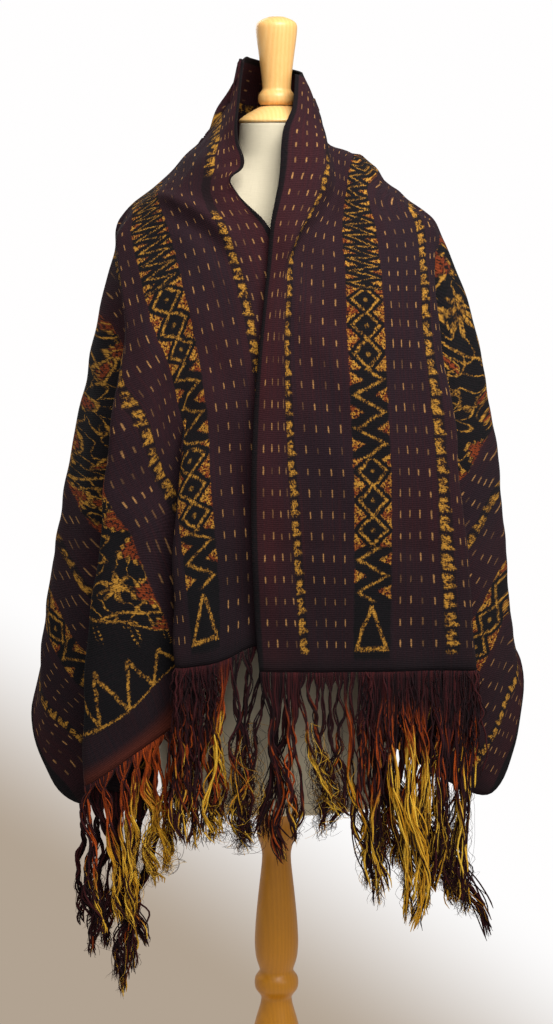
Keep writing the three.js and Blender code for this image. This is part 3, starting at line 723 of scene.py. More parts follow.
def down_line(rows, heights):
    """Monotone cubics through rows that run down in their first column: the other columns at heights."""
    points = np.array(rows, float)
    z, values = points[:, 0], points[:, 1:]
    rise = np.diff(values, axis=0) / np.diff(z)[:, None]
    before, after = rise[:-1], rise[1:]
    product = before * after
    total = np.where(np.abs(before + after) < 1e-12, 1.0, before + after)
    inner = np.where(product <= 0, 0.0, 2 * product / total)
    slope = np.vstack([rise[:1], inner, rise[-1:]])
    i = np.clip(np.searchsorted(-z, -heights, side="right") - 1, 0, len(z) - 2)
    span = (z[i + 1] - z[i])[:, None]
    t = np.clip((heights - z[i]) / (z[i + 1] - z[i]), 0, 1)[:, None]
    return (
        (2 * t**3 - 3 * t**2 + 1) * values[i]
        + (t**3 - 2 * t**2 + t) * slope[i] * span
        + (3 * t**2 - 2 * t**3) * values[i + 1]
        + (t**3 - t**2) * slope[i + 1] * span
    )


def smoothstep(x, low, high):
    t = np.clip((x - low) / (high - low), 0, 1)
    return t * t * (3 - 2 * t)


def line_points(line, shares):
    """Place and weave (x, y, z, u, v) of a fall line at row numbers shares."""
    top, bottom = line["rows"][0][0], line["rows"][-1][0]
    upper = top + (SHOULDER_LEVEL - top) * shares / UPPER_ROWS
    lower = SHOULDER_LEVEL + (bottom - SHOULDER_LEVEL) * (shares - UPPER_ROWS) / LOWER_ROWS
    z = np.where(shares <= UPPER_ROWS, upper, lower)
    x, y = down_line(line["rows"], z).T
    u, v = down_line(line["weave"], z).T
    return np.stack([x, y, z, u, v * (line["side"] or 1)], axis=1)


def station_points(shares):
    """Every station at every row: (rows, stations, 5). A fold line stands twice, once for each layer."""
    whole = [line_points(line, shares) for line in LINES]
    stations = []
    for k, line in enumerate(LINES):
        middle = whole[k]
        if "opens" not in line:
            stations.append(middle)
            continue
        along = whole[k + 1][:, :3] - whole[k - 1][:, :3]
        along[:, 2] = 0
        along /= np.linalg.norm(along, axis=1, keepdims=True)
        opened = smoothstep(line["opens"] - middle[:, 2], 0, FOLD_OPENING_DROP)[:, None]
        behind = np.array([[0.0, float(line["side"]), 0.0]])
        half = along * (1 - opened) + behind * opened
        half /= np.linalg.norm(half, axis=1, keepdims=True)
        half = half * (FOLD_START + (FOLD_GAPE - FOLD_START) * opened) / 2
        turn = np.linalg.norm(half, axis=1, keepdims=True) * 1.3
        direction = whole[k + 1][:, 3:] - whole[k - 1][:, 3:]
        direction = direction / np.maximum(np.linalg.norm(direction, axis=1, keepdims=True), 1e-6)
        stations.append(np.hstack([middle[:, :3] - half, middle[:, 3:] - direction * turn]))
        stations.append(np.hstack([middle[:, :3] + half, middle[:, 3:] + direction * turn]))
    return np.stack(stations, axis=1)


def section_points(stations, columns):
    """Centripetal Catmull-Rom curves through the stations of each row, at station numbers columns."""
    first = 2 * stations[:, :1] - stations[:, 1:2]
    last = 2 * stations[:, -1:] - stations[:, -2:-1]
    padded = np.concatenate([first, stations, last], axis=1)
    k = np.minimum(np.floor(columns).astype(int), stations.shape[1] - 2)
    t = (columns - k)[None, :, None]
    p0, p1, p2, p3 = (padded[:, k + n] for n in range(4))

    def knot(a, b):
        return np.sqrt(np.linalg.norm((b - a)[..., :3], axis=2, keepdims=True))

    d0, d1, d2 = knot(p0, p1), knot(p1, p2), knot(p2, p3)
    d1 = np.where(d1 < 1e-4, 1.0, d1)
    d0 = np.where(d0 < 1e-4, d1, d0)
    d2 = np.where(d2 < 1e-4, d1, d2)
    t1 = ((p1 - p0) / d0 - (p2 - p0) / (d0 + d1) + (p2 - p1) / d1) * d1
    t2 = ((p2 - p1) / d1 - (p3 - p1) / (d1 + d2) + (p3 - p2) / d2) * d1
    return (
        p1 + t1 * t
        + (-3 * p1 + 3 * p2 - 2 * t1 - t2) * t**2
        + (2 * p1 - 2 * p2 + t1 + t2) * t**3
    )


# ------------------------------------------------------------------ the shawl as one thin shell

CLOTH_ROWS = 172
COLUMN_STEP = 8.4
LEAST_COLUMNS = 4
CLOTH_WALL = 1.7
SMOOTHING_PASSES = 6


def plan_columns(stations):
    """Station numbers of the columns, closer together where the cloth is wider between stations."""
    gaps = np.linalg.norm(np.diff(stations[..., :3], axis=1), axis=2)
    widths = np.percentile(gaps, 85, axis=0)
    columns = []
    for k, width in enumerate(widths):
        steps = max(LEAST_COLUMNS, int(round(width / COLUMN_STEP)))
        columns.extend(k + np.arange(steps) / steps)
    columns.append(len(widths))
    return np.array(columns)


def smoothed(grid, passes):
    """Laplacian smoothing inside the grid, with the rims smoothed only along themselves."""
    for _ in range(passes):
        soft = grid.copy()
        soft[1:-1, 1:-1] = grid[1:-1, 1:-1] * 0.5 + (
            grid[:-2, 1:-1] + grid[2:, 1:-1] + grid[1:-1, :-2] + grid[1:-1, 2:]
        ) * 0.125
        soft[[0, -1], 1:-1] = grid[[0, -1], 1:-1] * 0.5 + (
            grid[[0, -1], :-2] + grid[[0, -1], 2:]
        ) * 0.25
        soft[1:-1, [0, -1]] = grid[1:-1, [0, -1]] * 0.5 + (
            grid[:-2, [0, -1]] + grid[2:, [0, -1]]
        ) * 0.25
        grid = soft
    return grid


def grid_normals(grid):
    across = np.gradient(grid, axis=1)
    down = np.gradient(grid, axis=0)
    normal = np.cross(down, across)
    return normal / np.maximum(np.linalg.norm(normal, axis=2, keepdims=True), 1e-9)


def build_mesh(name, verts, quads, layers, material):
    """A mesh object from arrays. layers maps a UV layer's name to one pair for each vertex."""
    mesh = bpy.data.meshes.new(name)
    mesh.vertices.add(len(verts))
    mesh.vertices.foreach_set("co", np.ascontiguousarray(verts, dtype=np.float32).ravel())
    mesh.loops.add(quads.size)
    mesh.loops.foreach_set("vertex_index", quads.ravel().astype(np.int32))
    mesh.polygons.add(len(quads))
    mesh.polygons.foreach_set("loop_start", np.arange(0, quads.size, quads.shape[1], dtype=np.int32))
    mesh.polygons.foreach_set("use_smooth", np.ones(len(quads), dtype=bool))
    for layer_name, values in layers.items():
        layer = mesh.uv_layers.new(name=layer_name)
        layer.data.foreach_set("uv", values[quads.ravel()].astype(np.float32).ravel())
    mesh.update(calc_edges=True)
    mesh.validate()
    mesh.materials.append(material)
    return add_object(name, mesh)


def grid_quads(rows, columns):
    i, j = np.meshgrid(np.arange(rows - 1), np.arange(columns - 1), indexing="ij")
    a = (i * columns + j).ravel()
    return np.stack([a, a + columns, a + columns + 1, a + 1], axis=1)


def shell_quads(rows, columns):
    """Faces of a closed sheet of two equal grids, the outer one first."""
    count = rows * columns
    front = grid_quads(rows, columns)
    back = front[:, ::-1] + count
    rim = np.concatenate([
        np.arange(columns),
        np.arange(1, rows) * columns + columns - 1,
        (rows - 1) * columns + np.arange(columns - 2, -1, -1),
        np.arange(rows - 2, 0, -1) * columns,
    ])
    following = np.roll(rim, -1)
    edge = np.stack([rim, following, following + count, rim + count], axis=1)
    return np.vstack([front, back, edge])


# How far apart rows of dashes lie at a distance v from the middle of the back.
ROW_SPACING = {"v": [300, 350, 400, 440, 500, 600], "gap": [21.3, 22.6, 24.5, 27.6, 28.2, 27.4]}
EVEN_SPACING = 27.5
LAST_DASHES = 844  # v of the row nearest the hem


def dash_rows(v):
    """Rows of dashes between the last one by the hem and v, negative towards the back, and half a row."""
    fine = np.arange(0, 901.0)
    density = 1 / np.interp(fine, ROW_SPACING["v"], ROW_SPACING["gap"])
    count = np.concatenate([[0], np.cumsum(density[1:])])
    return np.interp(np.abs(v), fine, count - np.interp(LAST_DASHES, fine, count)) + 0.5


def cloth_grid():
    shares = np.linspace(0, UPPER_ROWS + LOWER_ROWS, CLOTH_ROWS)
    stations = station_points(shares)
    return smoothed(section_points(stations, plan_columns(stations)), SMOOTHING_PASSES)


# Creases set on the smooth drape. Each has its name; the end of the cloth that it lies on, its
# height out from the cloth or, when negative, into it, and the width of its soft slopes; and the x z points
# of its line. A crease of the back lies on both ends.
FRONT_CREASES = """
cowl fold; -1 6.5 9; -161 1412, -130 1404, -106 1394, -81 1380, -57 1352
under the cowl fold; -1 -6 12; -144 1383, -112 1373, -82 1353, -59 1317
behind the cowl fold; -1 -4.5 9; -66 1421, -46 1400, -18 1368
collar pinch; -1 -3.5 7; -79 1446, -62 1448, -41 1447
beside the opening; -1 -10 24; -51 1155, -48 1054, -51 952, -57 849
left front roll; -1 2.5 14; -101 1279, -90 1129, -89 1002, -92 847
hem pleat; -1 -3 7; -73 978, -72 901, -69 813
outer left roll; -1 3 16; -171 1341, -162 1241, -160 1152, -166 1063
outer left hollow; -1 -3 14; -141 1279, -142 1204, -150 1115, -158 1000
left flap hollow; -1 -3 16; -198 1002, -191 899, -190 769
left side hollow; -1 -2 18; -238 1235, -258 1091, -273 932, -286 757
left side roll; -1 1.5 16; -223 1275, -240 1145, -257 988, -267 828
behind the lapel; 1 -5 9; 71 1438, 62 1403, 42 1368, 20 1325, 10 1277
shoulder hump; 1 5 11; 98 1462, 108 1456, 124 1440, 128 1424
behind the hump; 1 -4 8; 136 1431, 136 1408, 128 1385
shoulder fan; 1 3 10; 121 1416, 111 1383, 89 1347
shoulder fan low; 1 -3 10; 147 1408, 140 1370, 122 1332
right edge roll; 1 2.5 11; -11 1305, -16 1180, -18 1029, -16 850
right edge hollow; 1 -2.5 16; 29 1230, 29 1105, 32 953, 35 838
right front roll; 1 2.5 20; 91 1243, 92 1118, 97 979, 101 851
right front hollow; 1 -3.5 20; 163 1280, 169 1155, 178 1004, 182 837
stored fold, upper; 1 -1.6 6; -11 1250, 67 1255, 141 1252, 204 1247
stored fold, lower; 1 -1.6 6; -18 967, 68 970, 156 967, 232 962
right side hollow; 1 -2 18; 233 1275, 252 1145, 273 986, 285 813
right side roll; 1 1.5 16; 253 1235, 270 1103, 288 957, 303 795
"""
BACK_CREASES = """
middle fold; 0 7 16; -6 1400, -14 1200, -20 1000, -24 850
middle hollow; 0 -6 16; 30 1420, 34 1200, 40 1000, 42 850
left fold; 0 6 14; -80 1340, -92 1150, -104 980, -110 850
left hollow; 0 -6 14; -50 1380, -56 1180, -64 1000, -66 850
right fold; 0 6 15; 76 1350, 90 1160, 98 980, 104 860
right hollow; 0 -5 14; 116 1300, 134 1120, 144 960, 148 870
far left hollow; 0 -5 15; -130 1320, -150 1120, -166 940
far left fold; 0 5 15; -160 1300, -190 1120, -206 960
far right fold; 0 5 15; 160 1300, 184 1120, 200 950
neck tuck; 0 -3 9; -60 1478, -10 1462, 44 1470
yoke roll; 0 4 12; -96 1440, -20 1410, 70 1432
"""


def creases(text):
    made = []
    for row in filter(None, text.splitlines()):
        _, sizes, line = row.split(";")
        made.append((*table(sizes)[0], np.array(table(line))))
    return made


def near_line(x, z, line):
    """Distance of every point from a line in x, z, and how far along it the nearest place is, 0 to 1."""
    steps = np.linalg.norm(np.diff(line, axis=0), axis=1)
    before = np.concatenate([[0], np.cumsum(steps)])
    best = np.full(x.shape, 1e9)
    share = np.zeros(x.shape)
    for start, end, step, done in zip(line[:-1], line[1:], steps, before):
        t = ((x - start[0]) * (end[0] - start[0]) + (z - start[1]) * (end[1] - start[1])) / step**2
        t = np.clip(t, 0, 1)
        far = np.hypot(x - start[0] - t * (end[0] - start[0]), z - start[1] - t * (end[1] - start[1]))
        closer = far < best
        best = np.where(closer, far, best)
        share = np.where(closer, (done + t * step) / before[-1], share)
    return best, share


def relief(points, normals, weave):
    """How far out of the smooth drape each point of the cloth lies."""
    x, y, z = np.moveaxis(points, 2, 0)
    side = np.sign(weave[..., 1])
    rise = np.zeros(x.shape)
    for half, height, width, line in creases(FRONT_CREASES + BACK_CREASES):
        far, share = near_line(x, z, line)
        ends = smoothstep(share, -0.05, 0.22) * (1 - 0.75 * smoothstep(share, 0.78, 1.05))
        shape = np.exp(-((far / width) ** 2))
        if half:
            here = (side == half) * smoothstep(-normals[..., 1], -0.45, 0.1)
        else:
            here = smoothstep(normals[..., 1], -0.2, 0.35)
        rise += height * shape * ends * here
    # Slow, shallow unevenness everywhere.
    u, v = np.moveaxis(weave, 2, 0)
    for amount, across, along, start in (
        (0.9, 140, 230, 0.4), (0.8, -96, 150, 1.9), (0.5, 61, -118, 3.1), (0.35, 47, 74, 5.0),
    ):
        rise += amount * np.sin(2 * np.pi * (u / across + v / along) + start)
    return rise


def make_shawl():
    grid = cloth_grid()
    outer, weave = grid[..., :3], grid[..., 3:]
    normals = grid_normals(outer)
    outer += normals * relief(outer, normals, weave)[..., None]
    inner = outer - grid_normals(outer) * CLOTH_WALL
    rows, count = outer.shape[:2]
    verts = np.vstack([outer.reshape(-1, 3), inner.reshape(-1, 3)]) * MM
    layer = weave.reshape(-1, 2)
    rows_down = dash_rows(layer[:, 1])
    beat = np.stack([rows_down, (LAST_DASHES + (rows_down - 0.5) * EVEN_SPACING) * MM], axis=1)
    layers = {"weave": np.vstack([layer, layer]) * MM, "beat": np.vstack([beat, beat])}
    return build_mesh("shawl", verts, shell_quads(rows, count), layers, ikat_material()), grid


shawl, cloth = make_shawl()

# ------------------------------------------------------------------ the form

# The torso: height, half width, depth in front, depth behind. Turned pieces: radius and height, top first.
TORSO_SECTIONS = table("""
1501 48 47 47, 1480 49 48 48, 1462 52 49 51, 1444 66 52 57, 1428 92 56 64, 1412 122 61 70, 1396 150 66 76,
1376 172 72 84, 1350 178 80 92, 1310 172 92 98, 1250 162 106 96, 1200 150 108 90, 1130 130 94 80,
1060 118 84 74, 980 138 86 86, 900 162 90 102, 820 168 92 108, 700 162 92 102, 612 152 90 94, 604 146 84 88
""")

CAP_PROFILE = table("""
0 1524, 20 1523, 30 1518, 42 1511, 48 1506, 49 1504, 48 1501.3, 0 1501.3
""")
FINIAL_PROFILE = table("""
0 1637, 10 1636, 19 1633, 25 1629, 27 1624, 26 1612, 23 1590, 21 1574, 19 1556, 18 1544, 21 1541, 24 1536,
24 1529, 21 1524.3, 0 1524.3
""")
COLUMN_PROFILE = table("""
0 603.7, 32 603.7, 34 598, 34 590, 28 584, 26 574, 27 556, 22 544, 19 530, 20 514, 24 480, 28 440, 30 406,
28 384, 22 368, 24 364, 29 358, 30 350, 29 342, 24 336, 20 330, 22 318, 29 296, 36 262, 38 236, 34 204,
26 174, 22 150, 24 140, 32 134, 34 126, 32 118, 25 112, 27 96, 36 78, 50 66, 58 58, 60 50.3, 0 50.3
""")
BASE_PROFILE = table("""
0 50, 96 50, 112 47, 122 40, 128 34, 160 32, 178 28, 188 21, 192 13, 190 4, 186 0, 0 0
""")
ROUND_SIDES = 96


def ring_mesh(name, rings, material):
    """A closed solid from rings of points, top first. The first and last ring are filled."""
    count = len(rings)
    sides = rings.shape[1]
    verts = rings.reshape(-1, 3) * MM
    i, j = np.meshgrid(np.arange(count - 1), np.arange(sides), indexing="ij")
    a = (i * sides + j).ravel()
    b = (i * sides + (j + 1) % sides).ravel()
    quads = np.stack([a, a + sides, b + sides, b], axis=1)
    mesh = bpy.data.meshes.new(name)
    faces = quads.tolist() + [list(range(sides)), list(range((count - 1) * sides, count * sides))[::-1]]
    mesh.from_pydata(verts.tolist(), [], faces)
    mesh.polygons.foreach_set("use_smooth", [True] * (len(faces) - 2) + [False, False])
    mesh.update()
    mesh.materials.append(material)
    return add_object(name, mesh)


def torso_rings():
    heights = np.concatenate([np.linspace(1501, 1300, 68), np.linspace(1297, 604, 140)])
    half, front, back = down_line(TORSO_SECTIONS, heights).T
    angle = np.linspace(0, 2 * np.pi, ROUND_SIDES, endpoint=False)
    depth = np.where(np.sin(angle)[None] < 0, front[:, None], back[:, None])
    x = half[:, None] * np.cos(angle)
    y = depth * np.sin(angle)
    return np.stack([x, y, np.repeat(heights[:, None], ROUND_SIDES, axis=1)], axis=2)


def turned_rings(profile):
    """A turned profile with its hollows and beads rounded by short bends at its corners."""
    points = np.array(profile[1:-1], float)
    rounded = [points[0]]
    for before, here, after in zip(points[:-2], points[1:-1], points[2:]):
        for t in (0.25, 0.5, 0.75):
            start, end = (before + here) / 2, (here + after) / 2
            rounded.append(start * (1 - t) ** 2 + here * 2 * t * (1 - t) + end * t**2)
    rounded.append(points[-1])
    rounded = np.array(rounded)
    angle = np.linspace(0, 2 * np.pi, ROUND_SIDES, endpoint=False)
    x = rounded[:, :1] * np.cos(angle)
    y = rounded[:, :1] * np.sin(angle)
    return np.stack([x, y, np.repeat(rounded[:, 1:], ROUND_SIDES, axis=1)], axis=2)


def linen_material():
    material, tree, shader = new_material("cream_linen", 0.88, 0.12)
    x, y, z = place(tree)
    around = y.math("ARCTAN2", x) * 0.14
    warp = (around * (2 * math.pi / 0.0011)).math("SINE")
    weft = (z * (2 * math.pi / 0.0011)).math("SINE")
    slub = noise((around * 30, z * 900, 0.0), 2.0, 0.6)
    slub_down = noise((around * 900, z * 30, 3.0), 2.0, 0.6)
    cloud = noise((x, y, z), 3.0, scale=7.0)
    weave = warp * 0.12 + weft * 0.12 + slub * 0.6 + slub_down * 0.5
    share = (weave * 0.7 + cloud * 0.5 + 0.5).clamped()
    colour = blend(share, rgb(206, 196, 166), rgb(238, 228, 202))
    set_finish(shader, colour, weave, 0.0004, 0.6)
    return material


def wood_material(name, dark, light, roughness):
    material, tree, shader = new_material(name, roughness)
    shader.inputs["Coat Weight"].default_value = 0.12
    shader.inputs["Coat Roughness"].default_value = 0.22
    x, y, z = place(tree)
    wander = noise((x * 1.0, y * 1.0, z * 0.25), 2.0, scale=9.0)
    radius = ((x + 0.06) * (x + 0.06) + (y + 0.045) * (y + 0.045)).math("SQRT")
    rings = ((radius * 190 + wander * 4.0) * 2 * math.pi).math("SINE") * 0.5 + 0.5
    fibre = noise((x * 60, y * 60, z * 2.2), 3.0, 0.6, 14.0)
    pores = noise((x * 100, y * 100, z * 6), 2.0, scale=26.0)
    share = (rings * 0.28 + fibre * 0.7 + 0.36).clamped()
    colour = blend(share, dark, light)
    colour = blend(pores.over(0.16, 0.06) * 0.22, colour, rgb(120, 72, 30))
    set_finish(shader, colour, fibre + pores * 0.5, 0.0003, 0.5)
    return material


linen = linen_material()
pale_wood = wood_material("pale_wood", rgb(238, 174, 92), rgb(250, 204, 132), 0.4)
gold_wood = wood_material("golden_wood", rgb(182, 116, 4), rgb(206, 138, 12), 0.4)
# Painted light: the neck cap's wood is a lighter copy of the pale wood, offsetting the shade the cloth
# casts on the cap.
cap_wood_painted_light = wood_material("cap_wood_painted_light", rgb(250, 188, 104), rgb(255, 218, 150), 0.4)

torso = ring_mesh("torso", torso_rings(), linen)
cap = ring_mesh("neck_cap", turned_rings(CAP_PROFILE), cap_wood_painted_light)
finial = ring_mesh("finial", turned_rings(FINIAL_PROFILE), pale_wood)
column = ring_mesh("column", turned_rings(COLUMN_PROFILE), gold_wood)
base = ring_mesh("base", turned_rings(BASE_PROFILE), gold_wood)

# ------------------------------------------------------------------ fringes

# Tassels of loose yarns. from and to are the stretch of hem, as distance u across the cloth, that a tassel
# gathers; x and z are where it ends. orange and gold are how far below the hem its dye turns to each,
# share is the part of its yarns that were dyed, and fuzz is how tangled it is.
TASSEL = ("from", "to", "x", "z", "yarns", "orange", "gold", "share", "fuzz")
RIGHT_TASSELS = table("""
2 30 6 556 34 70 400 0.25 0.5,
30 48 26 584 24 60 180 0.45 0.7,
46 66 54 622 16 50 100 0.6 1.7,
66 88 62 592 13 150 300 0.2 1.6,
86 104 76 604 9 260 400 0.1 1.0,
102 118 88 622 9 90 160 0.4 1.0,
116 134 100 560 11 40 135 0.9 0.8,
142 160 112 520 26 80 190 0.4 1.3,
158 176 132 500 28 60 170 0.45 1.2,
172 190 160 478 32 55 118 0.7 0.9,
188 206 178 470 34 50 100 0.9 0.8,
204 222 190 486 30 50 112 0.7 0.9,
220 238 206 520 26 62 165 0.35 1.4,
236 252 226 510 26 58 175 0.25 1.4,
250 274 244 498 28 62 150 0.3 1.2,
276 304 228 540 20 80 170 0.3 1.0,
304 334 206 552 20 80 170 0.4 1.0,
334 364 182 548 20 70 150 0.3 1.0,
364 396 160 556 20 60 150 0.5 1.0,
396 430 142 540 20 60 150 0.3 1.0,
430 470 128 530 22 70 160 0.3 1.0,
474 506 146 520 22 60 120 0.5 1.2,
506 536 176 506 22 70 110 0.4 1.2,
536 566 200 500 22 60 100 0.5 1.2,
566 596 222 486 22 80 90 0.5 1.3,
596 626 238 482 22 60 80 0.6 1.3,
626 652 252 470 20 90 160 0.2 1.3,
652 676 266 462 18 120 240 0.1 1.1,
684 699 278 432 20 400 500 0.0 0.3
""")
LEFT_TASSELS = table("""
2 26 -24 584 12 200 300 0.15 0.5,
26 52 -14 580 12 160 260 0.2 0.6,
52 78 -36 582 12 130 240 0.2 1.3,
80 100 -36 578 15 120 170 0.3 2.2,
100 117 -48 571 15 120 165 0.35 2.2,
117 137 -66 584 22 16 85 0.95 1.6,
138 160 -88 576 30 80 205 0.2 0.9,
160 186 -103 572 32 70 215 0.25 0.9,
186 226 -119 584 32 80 180 0.25 0.9,
230 252 -120 612 18 60 120 0.5 1.0,
254 277 -112 606 18 60 120 0.5 1.0,
279 302 -130 590 18 40 120 0.6 1.0,
303 326 -136 566 20 14 130 0.8 1.2,
326 339 -146 538 16 -6 105 1.0 1.6,
339 351 -158 520 20 -10 70 1.0 1.2,
351 363 -181 474 24 2 68 0.95 1.1,
363 382 -190 462 20 6 92 0.85 1.1,
382 405 -212 470 18 10 100 0.7 0.8,
405 429 -232 452 18 10 130 0.2 0.6,
436 480 -172 430 24 90 190 0.3 0.9,
480 524 -188 396 26 120 180 0.25 0.9,
524 568 -206 362 26 140 230 0.25 0.8,
568 604 -220 384 26 110 200 0.2 0.9,
604 634 -230 420 26 110 180 0.2 0.9,
634 662 -240 404 24 150 240 0.1 0.8,
662 680 -250 432 22 150 300 0.1 0.8,
684 699 -258 440 20 400 500 0.0 0.4
""")
YARN_POINTS = 32
YARN_SIDES = 4
YARN_RADIUS = 1.02
FIBRE_RADIUS = 0.22
CORD_YARNS = 6  # yarns twisted together in one cord of a tassel
CORD_RADIUS = 2.3
SPARSE_YARNS = 15  # a tassel of fewer yarns draws together right below the hem
LEAST_YARNS, YARN_SHARE = 8, 0.8  # a tassel has this share of the table's yarns, or the least
STRAY_FIBRES = 24  # in a tassel whose fuzz is 1
UNDYED = 900  # a dye's turning point below every yarn

# Yarns that hang singly between the tassels: side, from, to, yarns, shortest, longest, share dyed.
LOOSE_YARNS = [
    (1, 138, 276, 110, 60, 170, 0.3),
    (-1, 136, 228, 84, 60, 150, 0.35),
]


def hem_line(side):
    """The cloth's lower edge at one end, as rows of x, y, z, u, ordered by u."""
    hem = cloth[-1]
    at_end = np.abs(hem[:, 4] * side - HALF_LENGTH) < 1.5
    points = hem[at_end][:, :4]
    return points[np.argsort(points[:, 3])]


def waves(draw, number, t, sizes):
    """Smooth wandering in two directions, still at t = 0: (number, points, 2)."""
    total = np.zeros((number, t.size, 2))
    for rate, size in sizes:
        for axis in (0, 1):
            phase = draw.rand(number, 1) * 2 * np.pi
            speed = rate * (0.75 + 0.5 * draw.rand(number, 1))
            swing = np.sin(2 * np.pi * speed * t[None] + phase) - np.sin(phase)
            total[..., axis] += swing * size * draw.randn(number, 1)
    return total


def tassel_yarns(row, hem, draw, gathered_by):
    """Paths and dye of one tassel's yarns and of the fine fibres that stray from it."""
    part = dict(zip(TASSEL, row))
    number = max(LEAST_YARNS, round(part["yarns"] * YARN_SHARE))
    fuzz = part["fuzz"]
    t = np.linspace(0, 1, YARN_POINTS)
    roots_u = np.linspace(part["from"], part["to"], number) + draw.uniform(-0.5, 0.5, number)
    roots = np.stack([np.interp(roots_u, hem[:, 3], hem[:, k]) for k in range(3)], axis=1)
    middle = roots.mean(axis=0)
    centre = np.zeros((YARN_POINTS, 2))
    ease = smoothstep(t, 0.0, 1.1)
    centre[:, 0] = middle[0] + (part["x"] - middle[0]) * ease / ease[-1]
    centre[:, 1] = middle[1] + 5 * draw.randn() * t
    drift = waves(draw, 1, t, ((0.7, 4.5), (1.7, 3.4), (3.1, 1.3)))[0]
    centre += drift * np.array([1.0, 0.6]) * (t[:, None] ** 0.6)
    # The yarns of a tassel hang in cords that wander apart and cross, each loosely twisted.
    cords = max(2, number // CORD_YARNS)
    cord = np.minimum(np.arange(number) * cords // number, cords - 1)
    apart = waves(draw, cords, t, ((0.8, 4.2), (1.9, 3.6), (3.6, 2.0))) * (0.6 + 0.35 * fuzz)
    apart *= (0.4 + 0.6 * smoothstep(t, 0.0, 0.7))[None, :, None]
    start = np.linspace(-1, 1, cords)[:, None] * CORD_RADIUS * 1.1
    apart[..., 0] += start * (1 - 0.5 * t[None])
    spread = CORD_RADIUS * (1 + 0.9 * fuzz * smoothstep(t, 0.68, 1.0))
    turns = (2.6 + 1.6 * draw.rand(cords, 1))[cord]
    angle = draw.rand(number, 1) * 2 * np.pi + 2 * np.pi * turns * t[None]
    out = np.sqrt(draw.rand(number, 1)) * spread[None]
    around = np.stack([out * np.cos(angle), out * np.sin(angle)], axis=2)
    gathered = centre[None] + apart[cord] * np.array([1.0, 0.7]) + around
    gather = smoothstep(t, 0.0, 0.16 if number < SPARSE_YARNS else gathered_by)[None, :, None]
    flat = roots[:, None, :2] * (1 - gather) + gathered * gather
    shiver = waves(draw, number, t, ((2.6, 0.8), (4.2, 0.7), (6.4, 0.6)))
    flat = flat + shiver * (0.5 + 0.6 * fuzz) * (t[None, :, None] ** 0.5)
    reach = roots[:, 2] - part["z"]
    length = reach * (1 - 0.22 * draw.beta(1.2, 2.6, number))
    z = roots[:, 2:3] - length[:, None] * t[None]
    paths = np.concatenate([flat, z[..., None]], axis=2)
    dyed = draw.rand(number) < part["share"]
    turn = np.where(dyed, part["orange"] + draw.normal(0, 9, number), UNDYED)
    gold = np.where(dyed, part["gold"] + draw.normal(0, 12, number), UNDYED)
    down = length[:, None] * t[None]
    dye = np.stack([down - turn[:, None], down - gold[:, None]], axis=2)

    stray = int(round(STRAY_FIBRES * fuzz))
    start = 0.35 + 0.4 * draw.rand(stray, 1)
    share = start + (1 - start) * t[None] ** 0.9
    curl = waves(draw, stray, t, ((1.1, 4.2), (2.6, 3.4), (4.6, 2.2)))
    flat = np.stack([np.interp(share, t, centre[:, k]) for k in (0, 1)], axis=2) + curl * 0.9 * fuzz
    bounce = waves(draw, stray, t, ((1.3, 4.0), (2.7, 2.5)))[..., 0] * fuzz
    z = middle[2] - reach.mean() * share * 0.97 + bounce
    z = np.maximum(z, part["z"])
    strays = np.concatenate([flat, z[..., None]], axis=2)
    tone = np.where(draw.rand(stray, 1) < 0.24 * part["share"] + 0.06, 120.0, -300.0)
    stray_dye = np.stack([tone + 0 * t[None], tone - 40 + 0 * t[None]], axis=2)
    radius = np.concatenate([np.full(number, YARN_RADIUS), np.full(stray, FIBRE_RADIUS)])
    return np.concatenate([paths, strays]), np.concatenate([dye, stray_dye]), radius


def loose_yarns(row, hem, draw):
    """Paths and dye of yarns that hang by themselves from a stretch of the hem."""
    side, begin, end, number, shortest, longest, share = row
    t = np.linspace(0, 1, YARN_POINTS)
    roots_u = draw.uniform(begin, end, number)
    roots = np.stack([np.interp(roots_u, hem[:, 3], hem[:, k]) for k in range(3)], axis=1)
    flat = roots[:, None, :2] + waves(draw, number, t, ((0.7, 3.6), (1.8, 2.2), (4.2, 1.0)))
    length = shortest + (longest - shortest) * draw.beta(1.4, 1.4, number)
    down = length[:, None] * t[None]
    z = roots[:, 2:3] - down
    dyed = draw.rand(number) < share
    turn = np.where(dyed, 45 + 60 * draw.rand(number), UNDYED)
    dye = np.stack([down - turn[:, None], down - turn[:, None] - 50], axis=2)
    return np.concatenate([flat, z[..., None]], axis=2), dye, np.full(number, YARN_RADIUS * 0.9)


